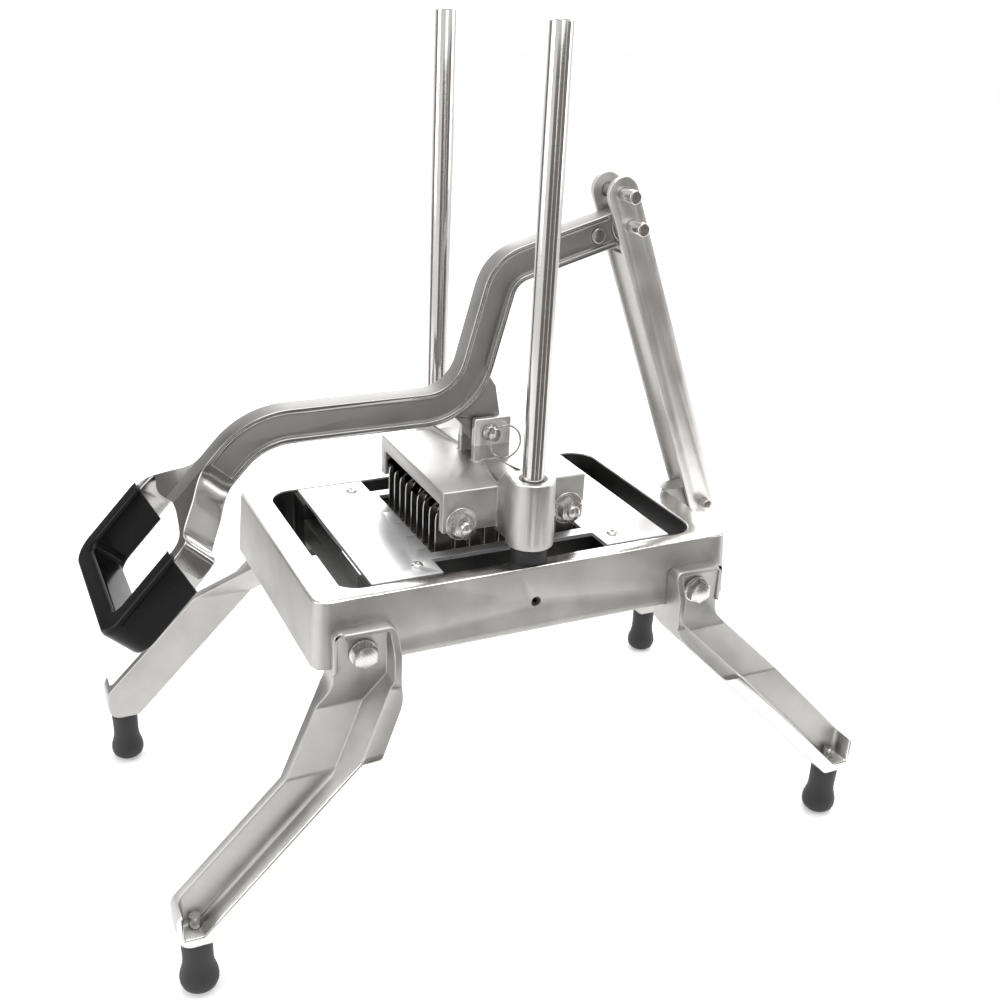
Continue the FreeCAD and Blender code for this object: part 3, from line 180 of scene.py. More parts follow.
class DicerCamera(bpy.types.PropertyGroup):
    """Where the camera stands."""
    place: FloatVectorProperty(
        name="Place", description="Where the camera stands", subtype="TRANSLATION",
        unit="LENGTH", size=3, default=(0.6128, -0.2851, 0.5088))
    azimuth: FloatProperty(
        name="Azimuth", description="Turn round the dicer, from its handle's end",
        subtype="ANGLE", default=math.radians(65.36))
    elevation: FloatProperty(
        name="Elevation", description="Angle at which the camera looks down",
        subtype="ANGLE", default=math.radians(25.09))
    roll: FloatProperty(
        name="Roll", description="Tilt of the camera about its own line of sight",
        subtype="ANGLE", default=math.radians(2.05))
    lens: FloatProperty(
        name="Lens", description="Focal length", subtype="DISTANCE_CAMERA", default=42.55)
    shift: FloatVectorProperty(
        name="Shift", description="Shift of the picture, in picture widths", size=2,
        default=(0.039, 0.033))


# ---------------------------------------------------------------- shaping

def middle(low, high):
    """The point half way between two corners."""
    return (Vector(low) + Vector(high)) / 2


def copy_of(node):
    """A CAD node's mesh with its loose triangles joined and its flat faces made whole."""
    form = bmesh.new()
    form.from_mesh(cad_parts[node].data)
    bmesh.ops.remove_doubles(form, verts=form.verts, dist=2e-6)
    bmesh.ops.dissolve_limit(form, angle_limit=math.radians(0.4), verts=form.verts, edges=form.edges,
                             delimit={"NORMAL"})
    return form


def solids_of(node):
    """Lowest and highest corner of each separate solid in a CAD node, from low X, then low Y."""
    form = bmesh.new()
    form.from_mesh(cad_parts[node].data)
    bmesh.ops.remove_doubles(form, verts=form.verts, dist=2e-6)
    found = []
    unseen = set(form.verts)
    while unseen:
        island = set()
        edge_of_island = [unseen.pop()]
        while edge_of_island:
            vert = edge_of_island.pop()
            island.add(vert)
            near = {edge.other_vert(vert) for edge in vert.link_edges} & unseen
            unseen -= near
            edge_of_island.extend(near)
        low = Vector([min(vert.co[axis] for vert in island) for axis in range(3)])
        high = Vector([max(vert.co[axis] for vert in island) for axis in range(3)])
        found.append((low, high))
    form.free()
    return sorted(found, key=lambda ends: (round(ends[0].x, 4), round(ends[0].y, 4), round(ends[0].z, 4)))


def break_edges(form, width, segments=3, sharper_than=30.0, wanted=None):
    """Round the sharp edges of a form."""
    limit = math.radians(sharper_than)
    edges = [edge for edge in form.edges
             if edge.is_manifold and edge.calc_face_angle(0) > limit and (wanted is None or wanted(edge))]
    if edges and width > 0:
        bmesh.ops.bevel(form, geom=edges, offset=width, offset_type="OFFSET", segments=segments,
                        profile=0.5, affect="EDGES", clamp_overlap=False, material=-1)


def turn(form, profile, centre, axis, side, steps):
    """Turn a profile of (radius, distance along the axis) points about the axis through centre."""
    points = [form.verts.new(centre + side * radius + axis * along) for radius, along in profile]
    edges = [form.edges.new(pair) for pair in zip(points, points[1:])]
    bmesh.ops.spin(form, geom=points + edges, cent=centre, axis=axis, dvec=(0, 0, 0),
                   angle=2 * math.pi, steps=steps, use_merge=True, use_duplicate=False)


def close_seams(form):
    """Join the seams and poles of turned forms and point their faces outwards."""
    bmesh.ops.remove_doubles(form, verts=form.verts, dist=1e-6)
    bmesh.ops.recalc_face_normals(form, faces=form.faces)


def arc(centre, radius, start, end, count):
    """Points of a round stretch of a profile, with angles in degrees."""
    angles = [math.radians(start + (end - start) * i / count) for i in range(count + 1)]
    return [(centre[0] + radius * math.cos(angle), centre[1] + radius * math.sin(angle))
            for angle in angles]


def add_piece(name, form, body, material, nodes, smooth_under=32.0):
    """Make a finished form a piece that rides on a body and stands for CAD nodes."""
    mesh = bpy.data.meshes.new(name)
    form.to_mesh(mesh)
    form.free()
    mesh.materials.append(material)
    mesh.shade_smooth()
    mesh.set_sharp_from_angle(angle=math.radians(smooth_under))
    piece = bpy.data.objects.new(name, mesh)
    bpy.context.scene.collection.objects.link(piece)
    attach(piece, body)
    if nodes:
        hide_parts(*nodes)
    return piece


def paint(node, material):
    """Give a CAD node that keeps its shape a finish."""
    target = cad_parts[node]
    if not target.material_slots:
        target.data.materials.append(material)
    for slot in target.material_slots:
        slot.material = material


# ---------------------------------------------------------------- finishes

class Finish:
    """A node material that is built up from noise on Object coordinates."""

    def __init__(self, name, colour, metallic, roughness):
        self.material = bpy.data.materials.new(name)
        self.material.use_nodes = True
        self.tree = self.material.node_tree
        self.shader = self.tree.nodes["Principled BSDF"]
        self.shader.inputs["Metallic"].default_value = metallic
        self.shader.inputs["Roughness"].default_value = roughness
        self.shader.inputs["Base Color"].default_value = (*colour, 1)
        self.place = self.tree.nodes.new("ShaderNodeTexCoord").outputs["Object"]
        self.last_normal = None

    def link(self, source, target):
        self.tree.links.new(source, target)

    def noise(self, scale, stretch=(1, 1, 1), detail=3.0, rough=0.55):
        """A noise pattern. The scale is in features per metre, divided along each axis by the stretch."""
        mapping = self.tree.nodes.new("ShaderNodeMapping")
        mapping.inputs["Scale"].default_value = [1 / amount for amount in stretch]
        self.link(self.place, mapping.inputs["Vector"])
        noise = self.tree.nodes.new("ShaderNodeTexNoise")
        noise.inputs["Scale"].default_value = scale
        noise.inputs["Detail"].default_value = detail
        noise.inputs["Roughness"].default_value = rough
        self.link(mapping.outputs["Vector"], noise.inputs["Vector"])
        return noise.outputs["Fac"]

    def spots(self, scale):
        """A pattern of scattered cells, zero at their middles."""
        cells = self.tree.nodes.new("ShaderNodeTexVoronoi")
        cells.inputs["Scale"].default_value = scale
        self.link(self.place, cells.inputs["Vector"])
        return cells.outputs["Distance"]

    def spread(self, value, low, high, to_low, to_high):
        """Carry a value from one range to another, held at the ends."""
        node = self.tree.nodes.new("ShaderNodeMapRange")
        for name, number in (("From Min", low), ("From Max", high), ("To Min", to_low), ("To Max", to_high)):
            node.inputs[name].default_value = number
        self.link(value, node.inputs["Value"])
        return node.outputs["Result"]

    def along(self, axis, mirrored=False):
        """The Object coordinate along an axis, or its size without its sign."""
        parts = self.tree.nodes.new("ShaderNodeSeparateXYZ")
        self.link(self.place, parts.inputs["Vector"])
        value = parts.outputs[axis]
        return self.join("ABSOLUTE", value, 0) if mirrored else value

    def inside(self, low, high, soft):
        """One inside a box, nought outside it, with a soft change between them."""
        result = None
        for axis, start, end in zip("XYZ", low, high):
            value = self.along(axis)
            for border, before, after in ((start, 0, 1), (end, 1, 0)):
                step = self.spread(value, border - soft, border + soft, before, after)
                result = step if result is None else self.join("MULTIPLY", result, step)
        return result

    def facing(self, axis):
        """How far a face looks along an axis, from 0 to 1, whichever way."""
        geometry = self.tree.nodes.new("ShaderNodeNewGeometry")
        parts = self.tree.nodes.new("ShaderNodeSeparateXYZ")
        self.link(geometry.outputs["True Normal"], parts.inputs["Vector"])
        return self.join("ABSOLUTE", parts.outputs[axis], 0)

    def join(self, operation, first, second):
        """Two values put together with a Math operation."""
        node = self.tree.nodes.new("ShaderNodeMath")
        node.operation = operation
        for socket, value in zip(node.inputs, (first, second)):
            if isinstance(value, (int, float)):
                socket.default_value = value
            else:
                self.link(value, socket)
        return node.outputs["Value"]

    def blend(self, factor, first, second):
        """A value between two others."""
        node = self.tree.nodes.new("ShaderNodeMix")
        node.data_type = "FLOAT"
        self.link(factor, node.inputs["Factor"])
        for socket, value in zip((node.inputs[2], node.inputs[3]), (first, second)):
            if isinstance(value, (int, float)):
                socket.default_value = value
            else:
                self.link(value, socket)
        return node.outputs[0]

    def tint(self, value, low, high, dark, light):
        """Base colour that runs from dark to light as a value runs from low to high."""
        ramp = self.tree.nodes.new("ShaderNodeValToRGB")
        ramp.color_ramp.elements[0].position = low
        ramp.color_ramp.elements[0].color = (*dark, 1)
        ramp.color_ramp.elements[1].position = high
        ramp.color_ramp.elements[1].color = (*light, 1)
        self.link(value, ramp.inputs["Fac"])
        self.link(ramp.outputs["Color"], self.shader.inputs["Base Color"])
        return ramp

    def bump(self, height, strength, distance):
        """Surface relief, added to what is there already."""
        node = self.tree.nodes.new("ShaderNodeBump")
        node.inputs["Strength"].default_value = strength
        node.inputs["Distance"].default_value = distance
        self.link(height, node.inputs["Height"])
        if self.last_normal is not None:
            self.link(self.last_normal, node.inputs["Normal"])
        self.last_normal = node.outputs["Normal"]
        self.link(self.last_normal, self.shader.inputs["Normal"])

    def roughen(self, value):
        self.link(value, self.shader.inputs["Roughness"])


# Tone of the dullest part of a casting, on a scale from 0, painted shade, to 1, polished with a painted
# highlight.
DULLEST = 0.25


def scaled(colour, amount):
    """A colour made darker or lighter."""
    return tuple(min(1.0, channel * amount) for channel in colour)


def satin_casting(name, colour, roughness, polished, polish_and_highlight_from, fade, axis="Z", mirrored=False,
                  shade=None):
    """Sand-blasted casting, polished and painted lighter as a highlight past a place on an axis, and painted
    dark as shade inside the shade box.
    """
    finish = Finish(name, colour, 1.0, roughness)
    cloud = finish.noise(38, detail=4)
    grain = finish.noise(1500, detail=2)
    pits = finish.spots(420)
    polish_and_highlight = finish.spread(finish.along(axis, mirrored), polish_and_highlight_from, polish_and_highlight_from + fade, 0, 1)
    dull = finish.spread(cloud, 0.3, 0.7, roughness - 0.05, roughness + 0.07)
    bright = finish.spread(cloud, 0.3, 0.7, polished - 0.03, polished + 0.05)
    finish.roughen(finish.blend(polish_and_highlight, dull, bright))
    mottle = finish.spread(cloud, 0.3, 0.72, DULLEST, 2 * DULLEST)
    # The polished part is also given a lighter colour, a painted highlight; the mottle is the casting's own
    # random tone.
    tone = finish.join("ADD", mottle, finish.join("MULTIPLY", polish_and_highlight, 0.5))
    # Inside the shade box the tone drops below DULLEST and the colour runs down to a much darker one:
    # painted shade inside the frame.
    if shade:
        tone = finish.join("SUBTRACT", tone, finish.inside(*shade, 0.0006))
    ramp = finish.tint(tone, 0.0, 1.0, scaled(colour, 0.12 if shade else 0.72), scaled(colour, 1.7))
    if shade:
        ramp.color_ramp.elements.new(DULLEST).color = (*scaled(colour, 0.88), 1)
    finish.bump(grain, 0.14, 0.0002)
    finish.bump(finish.spread(pits, 0.0, 0.12, 0, 1), 0.10, 0.0002)
    return finish.material


def brushed(name, colour, roughness, stretch, scale=900.0, depth=0.1):
    """Metal with fine lines drawn along the axis of the largest stretch."""
    finish = Finish(name, colour, 1.0, roughness)
    lines = finish.noise(scale, stretch, detail=5, rough=0.7)
    cloud = finish.noise(26, detail=3)
    finish.roughen(finish.spread(lines, 0.25, 0.75, max(0.03, roughness - 0.06), roughness + 0.09))
    finish.tint(cloud, 0.3, 0.7, scaled(colour, 0.93), scaled(colour, 1.05))
    finish.bump(lines, depth, 0.0001)
    return finish.material


def sheared(name, edge, face, roughness):
    """Sheet in the YZ plane whose cut edges are painted light, a painted highlight, and whose faces are
    painted dark, a painted shade between the fins.
    """
    finish = Finish(name, edge, 1.0, roughness)
    lines = finish.noise(900, (1, 1, 10), detail=5, rough=0.7)
    finish.roughen(finish.spread(lines, 0.25, 0.75, roughness - 0.06, roughness + 0.09))
    # Faces that look along X get the dark colour and edges the light one: painted shade and painted
    # highlight.
    finish.tint(finish.facing("X"), 0.3, 0.9, edge, face)
    finish.bump(lines, 0.07, 0.0001)
    return finish.material


def moulded(name, colour, roughness, scale, depth, distance=0.0002):
    """Plastic or rubber with a fine skin and slight unevenness."""
    finish = Finish(name, colour, 0.0, roughness)
    skin = finish.noise(scale, detail=4)
    cloud = finish.noise(30, detail=3)
    finish.roughen(finish.spread(cloud, 0.3, 0.7, max(0.04, roughness - 0.05), roughness + 0.06))
    finish.tint(cloud, 0.3, 0.7, scaled(colour, 0.8), scaled(colour, 1.3))
    finish.bump(skin, depth, distance)
    return finish.material


def frame_painted_shade_box(sizes):
    """Lowest and highest corner of the box of painted shade inside the frame, which ends just under the
    plate's face.
    """
    low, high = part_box("blade_plate")
    centre = middle(low, high)
    half = Vector((sizes.painted_shade_well[0], sizes.painted_shade_well[1], 0)) / 2
    corners = (centre - half, centre + half)
    corners[0].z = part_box("base_frame")[0][2] - 0.01
    corners[1].z = high[2] - 0.0016
    return corners


FINISHES = {}


def make_finishes(sizes, colours):
    """Every finish of the dicer, by a maker's name."""
    cast = tuple(colours.cast)
    steel = tuple(colours.steel)
    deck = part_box("base_frame")[1][2]
    plate_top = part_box("blade_plate")[1][2]
    leg_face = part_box("leg_front_right")[1][0]
    bush_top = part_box("rod_bush_right")[1][2]
    # On every casting the part past polish_and_highlight_from is polished and painted lighter, a painted
    # highlight on rims, ribs, ears and tops.
    FINISHES.update({
        # The frame is painted dark inside its well, a painted shade.
        "frame": satin_casting("frame_casting", scaled(cast, 1.08), roughness=0.48, polished=0.20,
                               polish_and_highlight_from=plate_top - 0.0012, fade=0.0008, shade=frame_painted_shade_box(sizes)),
        "leg": satin_casting("leg_casting", cast, roughness=0.42, polished=0.14,
                             polish_and_highlight_from=leg_face - 0.0025, fade=0.0013, axis="X", mirrored=True),
        "pusher": satin_casting("pusher_casting", scaled(cast, 1.05), roughness=0.42, polished=0.34,
                                polish_and_highlight_from=bush_top - 0.0008, fade=0.0004),
        # The lever gets a darker colour, with its recess between the ribs darker than the ribs: painted
        # shade in the recess, painted highlight on the ribs.
        "lever": satin_casting("lever_casting", scaled(cast, 0.62), roughness=0.46, polished=0.16,
                               polish_and_highlight_from=sizes.lever_rim, fade=0.0006, axis="X", mirrored=True),
        "link": satin_casting("link_casting", scaled(cast, 1.15), roughness=0.50, polished=0.30,
                              polish_and_highlight_from=sizes.link_rim, fade=0.0003, axis="X", mirrored=True),
        # The holder under the plate is given a very dark colour, a painted shade.
        "holder": satin_casting("holder_painted_shade", scaled(cast, 0.28), roughness=0.42, polished=0.32,
                                polish_and_highlight_from=deck, fade=0.01),
        "plate": brushed("plate_sheet", tuple(colours.sheet), 0.42, (1, 9, 1), 700, 0.05),
        "blade": brushed("blade_steel", steel, 0.26, (1, 12, 1), 900, 0.07),
        # The fins' edges are painted light and their faces dark: painted highlight and painted shade.
        "fin": sheared("fin_sheet", scaled(steel, 1.6), scaled(steel, 0.30), 0.34),
        "rod": brushed("ground_rod", scaled(steel, 1.02), 0.12, (1, 1, 0.12), 260, 0.015),
        "fastener": brushed("fastener_steel", scaled(steel, 1.12), 0.24, (1, 1, 1), 1300, 0.08),
        "pin": brushed("pin_steel", scaled(steel, 1.08), 0.15, (0.2, 1, 1), 500, 0.04),
        "dark": brushed("blackened_steel", (0.09, 0.09, 0.095), 0.38, (1, 1, 1), 1300, 0.1),
        "bush": moulded("bearing_plastic", (0.05, 0.05, 0.055), 0.45, 900, 0.06),
        "grip": moulded("dipped_coat", tuple(colours.grip), 0.16, 120, 0.05, 0.0006),
        "rubber": moulded("foot_rubber", tuple(colours.rubber), 0.55, 1400, 0.18),
    })
    grip = FINISHES["grip"].node_tree.nodes["Principled BSDF"]
    grip.inputs["Specular IOR Level"].default_value = 0.14


# ---------------------------------------------------------------- pieces

def casting(name, node, body, material, width, smooth_under=32.0, **choice):
    """A casting with its sharp edges rounded."""
    form = copy_of(node)
    break_edges(form, width, **choice)
    return add_piece(name, form, body, material, [node], smooth_under)


def foot(name, node, steps):
    """A rubber foot: a rounded bulb below a waist, turned about its own axis."""
    low, high = (Vector(corner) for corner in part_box(node))
    bulb = (high.x - low.x) / 2
    tall = high.z - low.z
    sole = 0.42 * bulb
    profile = [(0, 0), (sole * 0.8, 0), (sole, 0.0002)]
    profile += [(0.72 * bulb, 0.035 * tall), (0.90 * bulb, 0.085 * tall), (0.98 * bulb, 0.15 * tall),
                (bulb, 0.215 * tall), (0.975 * bulb, 0.28 * tall), (0.91 * bulb, 0.35 * tall),
                (0.83 * bulb, 0.43 * tall), (0.785 * bulb, 0.52 * tall), (0.78 * bulb, 0.65 * tall),
                (0.795 * bulb, 0.85 * tall), (0.81 * bulb, 0.985 * tall), (0.79 * bulb, tall), (0, tall)]
    form = bmesh.new()
    centre = middle(low, high)
    centre.z = low.z
    turn(form, profile, centre, Z_AXIS, X_AXIS, steps)
    close_seams(form)
    return add_piece(name, form, "frame", FINISHES["rubber"], [node], 50.0)


def rod(name, node, chamfer, steps):
    """A ground guide rod with a small chamfer at its top."""
    low, high = (Vector(corner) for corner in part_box(node))
    radius = (high.x - low.x) / 2
    tall = high.z - low.z
    profile = [(0, 0), (radius, 0), (radius, tall - chamfer), (radius - chamfer / 4, tall - 0.4 * chamfer),
               (radius - chamfer, tall), (0, tall)]
    form = bmesh.new()
    centre = middle(low, high)
    centre.z = low.z
    turn(form, profile, centre, Z_AXIS, X_AXIS, 2 * steps)
    close_seams(form)
    return add_piece(name, form, "frame", FINISHES["rod"], [node], 25.0)


def collar(form, low, high, bore, axis, side, round_edge, steps):
    """A ring about an axis that fills a box, with a bore and rounded outer edges."""
    index = 0 if abs(axis.x) > 0.5 else 2
    across = 1 if index == 0 else 0
    length = high[index] - low[index]
    radius = (high[across] - low[across]) / 2
    centre = middle(low, high)
    centre[index] = low[index]
    profile = arc((radius - round_edge, round_edge), round_edge, -90, 0, 3)
    profile += arc((radius - round_edge, length - round_edge), round_edge, 0, 90, 3)
    profile = [(bore, 0)] + profile + [(bore, length), (bore, 0)]
    turn(form, profile, centre, axis, side, steps)


def hex_block(form, centre, axis, across, length, chamfer, outward):
    """A hexagonal head or nut from centre along the axis, chamfered at its outer end."""
    corner = across / math.sqrt(3)
    profile = [(0, 0), (corner, 0), (corner, length - 0.45 * chamfer), (corner - chamfer, length),
               (0, length)]
    turn(form, profile, centre, axis * outward, Z_AXIS, 6)


def domed_end(form, centre, axis, radius, length, dome, steps):
    """The round end of a bolt, from centre along the axis, with a low dome."""
    profile = [(0, 0), (radius, 0), (radius, length - dome)]
    profile += [(radius * math.cos(math.radians(a)), length - dome + dome * math.sin(math.radians(a)))
                for a in (25, 50, 72)]
    profile += [(0, length)]
    turn(form, profile, centre, axis, Z_AXIS, steps)


def washers(name, node, body, bore, round_edge, steps):
    """Flat washers about X with rounded rims."""
    form = bmesh.new()
    for low, high in solids_of(node):
        collar(form, low, high, bore, X_AXIS, Z_AXIS, round_edge, steps)
    close_seams(form)
    return add_piece(name, form, body, FINISHES["fastener"], [node])


# ---------------------------------------------------------------- operators

class DICER_OT_castings(bpy.types.Operator):
    """Round the edges of the frame and its four legs, and give them their finish"""
    bl_idname = "dicer.castings"
    bl_label = "Frame and legs"

    def execute(self, context):
        sizes = context.scene.dicer_sizes
        casting("cast_frame", "base_frame", "frame", FINISHES["frame"], sizes.frame_edge)
        for corner in CORNERS:
            casting("cast_leg_" + corner, "leg_" + corner, "frame", FINISHES["leg"], sizes.leg_edge)
        return {"FINISHED"}


class DICER_OT_feet(bpy.types.Operator):
    """Turn the rubber feet and the bumpers at the rods' feet"""
    bl_idname = "dicer.feet"
    bl_label = "Feet and bumpers"

    def execute(self, context):
        sizes = context.scene.dicer_sizes
        steps = sizes.round_steps
        for corner in CORNERS:
            foot("rubber_foot_" + corner, "foot_" + corner, steps)
        for side in SIDES:
            node = "rod_bumper_" + side
            low, high = (Vector(corner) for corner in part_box(node))
            rod_low, rod_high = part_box("guide_rod_" + side)
            form = bmesh.new()
            bore = (rod_high[0] - rod_low[0]) / 2
            collar(form, low, high, bore, Z_AXIS, X_AXIS, sizes.bumper_edge, steps)
            close_seams(form)
            add_piece("bumper_" + side, form, "frame", FINISHES["rubber"], [node])
        paint("foot_screws", FINISHES["fastener"])
        return {"FINISHED"}


class DICER_OT_rods(bpy.types.Operator):
    """Turn the two ground guide rods"""
    bl_idname = "dicer.rods"
    bl_label = "Guide rods"

    def execute(self, context):
        sizes = context.scene.dicer_sizes
        for side in SIDES:
            rod("ground_rod_" + side, "guide_rod_" + side, sizes.rod_chamfer, sizes.round_steps)
        paint("rod_set_screws", FINISHES["dark"])
        return {"FINISHED"}


class DICER_OT_blades(bpy.types.Operator):
    """Break the edges of the blade plate, give its holder and blades their finish, and turn its screws"""
    bl_idname = "dicer.blades"
    bl_label = "Blade plate and blades"

    def execute(self, context):
        sizes = context.scene.dicer_sizes
        form = copy_of("blade_plate")
        break_edges(form, sizes.sheet_edge, segments=2)
        add_piece("sheet_blade_plate", form, "frame", FINISHES["plate"], ["blade_plate"])
        paint("blade_holder", FINISHES["holder"])
        paint("slicing_blades", FINISHES["blade"])
        paint("cross_blades", FINISHES["blade"])
        self.screws(sizes)
        return {"FINISHED"}

    def screws(self, sizes):
        """Pan-head screws with a round recess."""
        form = bmesh.new()
        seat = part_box("blade_plate")[1][2]
        shank = sizes.screw_radius
        for low, high in solids_of("plate_screws"):
            radius = (high.x - low.x) / 2
            centre = middle(low, high)
            centre.z = low.z
            tall = high.z - low.z
            head = seat - low.z
            rise = tall - head
            recess = radius * 0.42
            profile = [(0, 0), (shank, 0), (shank, head), (radius, head), (radius, head + 0.25 * rise),
                       (radius * 0.86, head + 0.72 * rise), (radius * 0.6, tall), (recess, tall),
                       (recess * 0.55, tall - 0.92 * sizes.screw_recess), (0, tall - sizes.screw_recess)]
            turn(form, profile, centre, Z_AXIS, X_AXIS, 4 * (sizes.round_steps // 6))
        close_seams(form)
        add_piece("screws_blade_plate", form, "frame", FINISHES["fastener"], ["plate_screws"])


class DICER_OT_pusher(bpy.types.Operator):
    """Round the pusher's casting and its fins, and turn its bolts, nuts and washers"""
    bl_idname = "dicer.pusher"
    bl_label = "Pusher"

    def execute(self, context):
        sizes = context.scene.dicer_sizes
        casting("cast_pusher", "pusher_head", "pusher", FINISHES["pusher"], sizes.pusher_edge)
        form = copy_of("pusher_fins")
        break_edges(form, sizes.fin_shoulder, segments=4, sharper_than=15.0, wanted=self.is_shoulder)
        bmesh.ops.dissolve_limit(form, angle_limit=math.radians(0.4), verts=form.verts, edges=form.edges)
        break_edges(form, sizes.sheet_edge, segments=1, sharper_than=60.0)
        add_piece("fins_pusher", form, "pusher", FINISHES["fin"], ["pusher_fins"])
        for side in SIDES:
            paint("rod_bush_" + side, FINISHES["bush"])
        paint("fin_spacers", FINISHES["fastener"])
        self.ties(sizes)
        return {"FINISHED"}

    @staticmethod
    def is_shoulder(edge):
        """Whether an edge is one of the blunt corners at a fin's top."""
        along = (edge.verts[1].co - edge.verts[0].co).normalized()
        return abs(along.x) > 0.99 and edge.calc_face_angle(0) < math.radians(60)

    def ties(self, sizes):
        """The tie bolts with their hexagon heads, domed ends, nuts and washers."""
        steps = sizes.round_steps
        shank = sizes.bolt_radius
        nuts = solids_of("tie_nuts")
        across = nuts[0][1].y - nuts[0][0].y
        form = bmesh.new()
        for low, high in nuts:
            centre = middle(low, high)
            centre.x = low.x
            hex_block(form, centre, X_AXIS, across, high.x - low.x, sizes.nut_chamfer, 1)
        close_seams(form)
        add_piece("nuts_tie", form, "pusher", FINISHES["fastener"], ["tie_nuts"])
        form = bmesh.new()
        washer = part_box("tie_washers")
        for low, high in solids_of("tie_bolts"):
            centre = middle(low, high)
            centre.x = washer[0][0]
            hex_block(form, centre, X_AXIS, across, washer[0][0] - low.x, sizes.nut_chamfer, -1)
            domed_end(form, centre, X_AXIS, shank, high.x - washer[0][0], sizes.bolt_dome, steps)
        close_seams(form)
        add_piece("bolts_tie", form, "pusher", FINISHES["fastener"], ["tie_bolts"])
        washers("washers_tie", "tie_washers", "pusher", shank, 0.0006, steps)


class DICER_OT_leg_bolts(bpy.types.Operator):
    """Turn the bolts and washers that hold the legs on"""
    bl_idname = "dicer.leg_bolts"
    bl_label = "Leg bolts"

    def execute(self, context):
        sizes = context.scene.dicer_sizes
        steps = sizes.round_steps
        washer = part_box("leg_washers")[1][0]
        form = bmesh.new()
        for low, high in solids_of("leg_bolts"):
            outward = 1 if high.x > 0 else -1
            centre = middle(low, high)
            tip = high.x if outward > 0 else low.x
            root = low.x if outward > 0 else high.x
            across = high.y - low.y
            centre.x = outward * washer
            hex_block(form, centre, X_AXIS, across, abs(tip) - washer, sizes.nut_chamfer, outward)
            centre.x = root
            shank = washer - abs(root)
            domed_end(form, centre, X_AXIS * outward, sizes.bolt_radius, shank, 0.0005, steps)
        close_seams(form)
        add_piece("bolts_leg", form, "frame", FINISHES["fastener"], ["leg_bolts"])
        washers("washers_leg", "leg_washers", "frame", sizes.bolt_radius, 0.0005, steps)
        return {"FINISHED"}


class DICER_OT_pull_pin(bpy.types.Operator):
    """Finish the clevis pin and wind its split ring"""
    bl_idname = "dicer.pull_pin"
    bl_label = "Clevis pin and ring"

    def execute(self, context):
        sizes = context.scene.dicer_sizes
        form = copy_of("clevis_pin")
        break_edges(form, sizes.clevis_edge, segments=2)
        add_piece("turned_clevis_pin", form, "pull_pin", FINISHES["pin"], ["clevis_pin"])
        low, high = (Vector(corner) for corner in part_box("pull_ring"))
        wire = (high.x - low.x) / 2
        radius = (high.y - low.y) / 2 - wire
        centre = middle(low, high)
        turns = sizes.ring_turns
        start = centre + Y_AXIS * radius
        start.x -= sizes.ring_coil * turns / 2
        form = bmesh.new()
        coil = Matrix.Translation(start) @ Matrix.Diagonal((sizes.ring_flat, 1, 1, 1))
        made = bmesh.ops.create_circle(form, cap_ends=True, segments=12, radius=wire * sizes.ring_wire,
                                       matrix=coil)
        steps = int(sizes.round_steps * turns)
        section = {face for vert in made["verts"] for face in vert.link_faces}
        bmesh.ops.spin(form, geom=list(section), cent=centre, axis=X_AXIS,
                       dvec=X_AXIS * (sizes.ring_coil / steps), angle=2 * math.pi * turns, steps=steps,
                       use_merge=False, use_duplicate=False)
        close_seams(form)
        add_piece("split_ring", form, "ring", FINISHES["pin"], ["pull_ring"])
        return {"FINISHED"}


class DICER_OT_lever(bpy.types.Operator):
    """Round the lever's ribs, finish its bush and smooth the dipped handle"""
    bl_idname = "dicer.lever"
    bl_label = "Lever and grip"

    def execute(self, context):
        sizes = context.scene.dicer_sizes
        casting("cast_lever", "lever_arm", "lever", FINISHES["lever"], sizes.lever_edge)
        paint("lever_bush", FINISHES["bush"])
        form = copy_of("handle_grip")
        add_piece("dipped_grip", form, "lever", FINISHES["grip"], ["handle_grip"], 40.0)
        return {"FINISHED"}


class DICER_OT_link(bpy.types.Operator):
    """Round the rear link and turn its pins and push-on clips"""
    bl_idname = "dicer.link"
    bl_label = "Rear link and pins"

    def execute(self, context):
        sizes = context.scene.dicer_sizes
        steps = sizes.round_steps
        casting("cast_link", "rear_link", "link", FINISHES["link"], sizes.link_edge)
        for node in ("stop_pin", "lever_pivot_pin", "link_base_pin"):
            low, high = (Vector(corner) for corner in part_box(node))
            radius = (high.y - low.y) / 2
            length = high.x - low.x
            edge = sizes.pin_edge
            profile = [(0, 0), (radius - edge, 0)] + arc((radius - edge, edge), edge, -60, 0, 2)
            profile += arc((radius - edge, length - edge), edge, 0, 90, 3) + [(0, length)]
            centre = middle(low, high)
            centre.x = low.x
            form = bmesh.new()
            turn(form, profile, centre, X_AXIS, Z_AXIS, steps)
            close_seams(form)
            add_piece("turned_" + node, form, "link", FINISHES["pin"], [node])
        self.clips(sizes)
        return {"FINISHED"}

    def clips(self, sizes):
        """Push-on clips: thin dished rings whose teeth lean against the pin."""
        form = bmesh.new()
        for low, high in solids_of("pin_clips"):
            radius = (high.y - low.y) / 2
            length = high.x - low.x
            bore = sizes.clip_bore
            centre = middle(low, high)
            centre.x = low.x
            profile = [(bore, 0), (bore + 0.0012, 0.1 * length), (radius - 0.0012, 0.55 * length),
                       (radius, 0.6 * length), (radius, length), (radius - 0.001, length),
                       (bore, 0.45 * length), (bore, 0)]
            turn(form, profile, centre, X_AXIS, Z_AXIS, sizes.round_steps)
        close_seams(form)
        add_piece("clips_link", form, "link", FINISHES["dark"], ["pin_clips"])


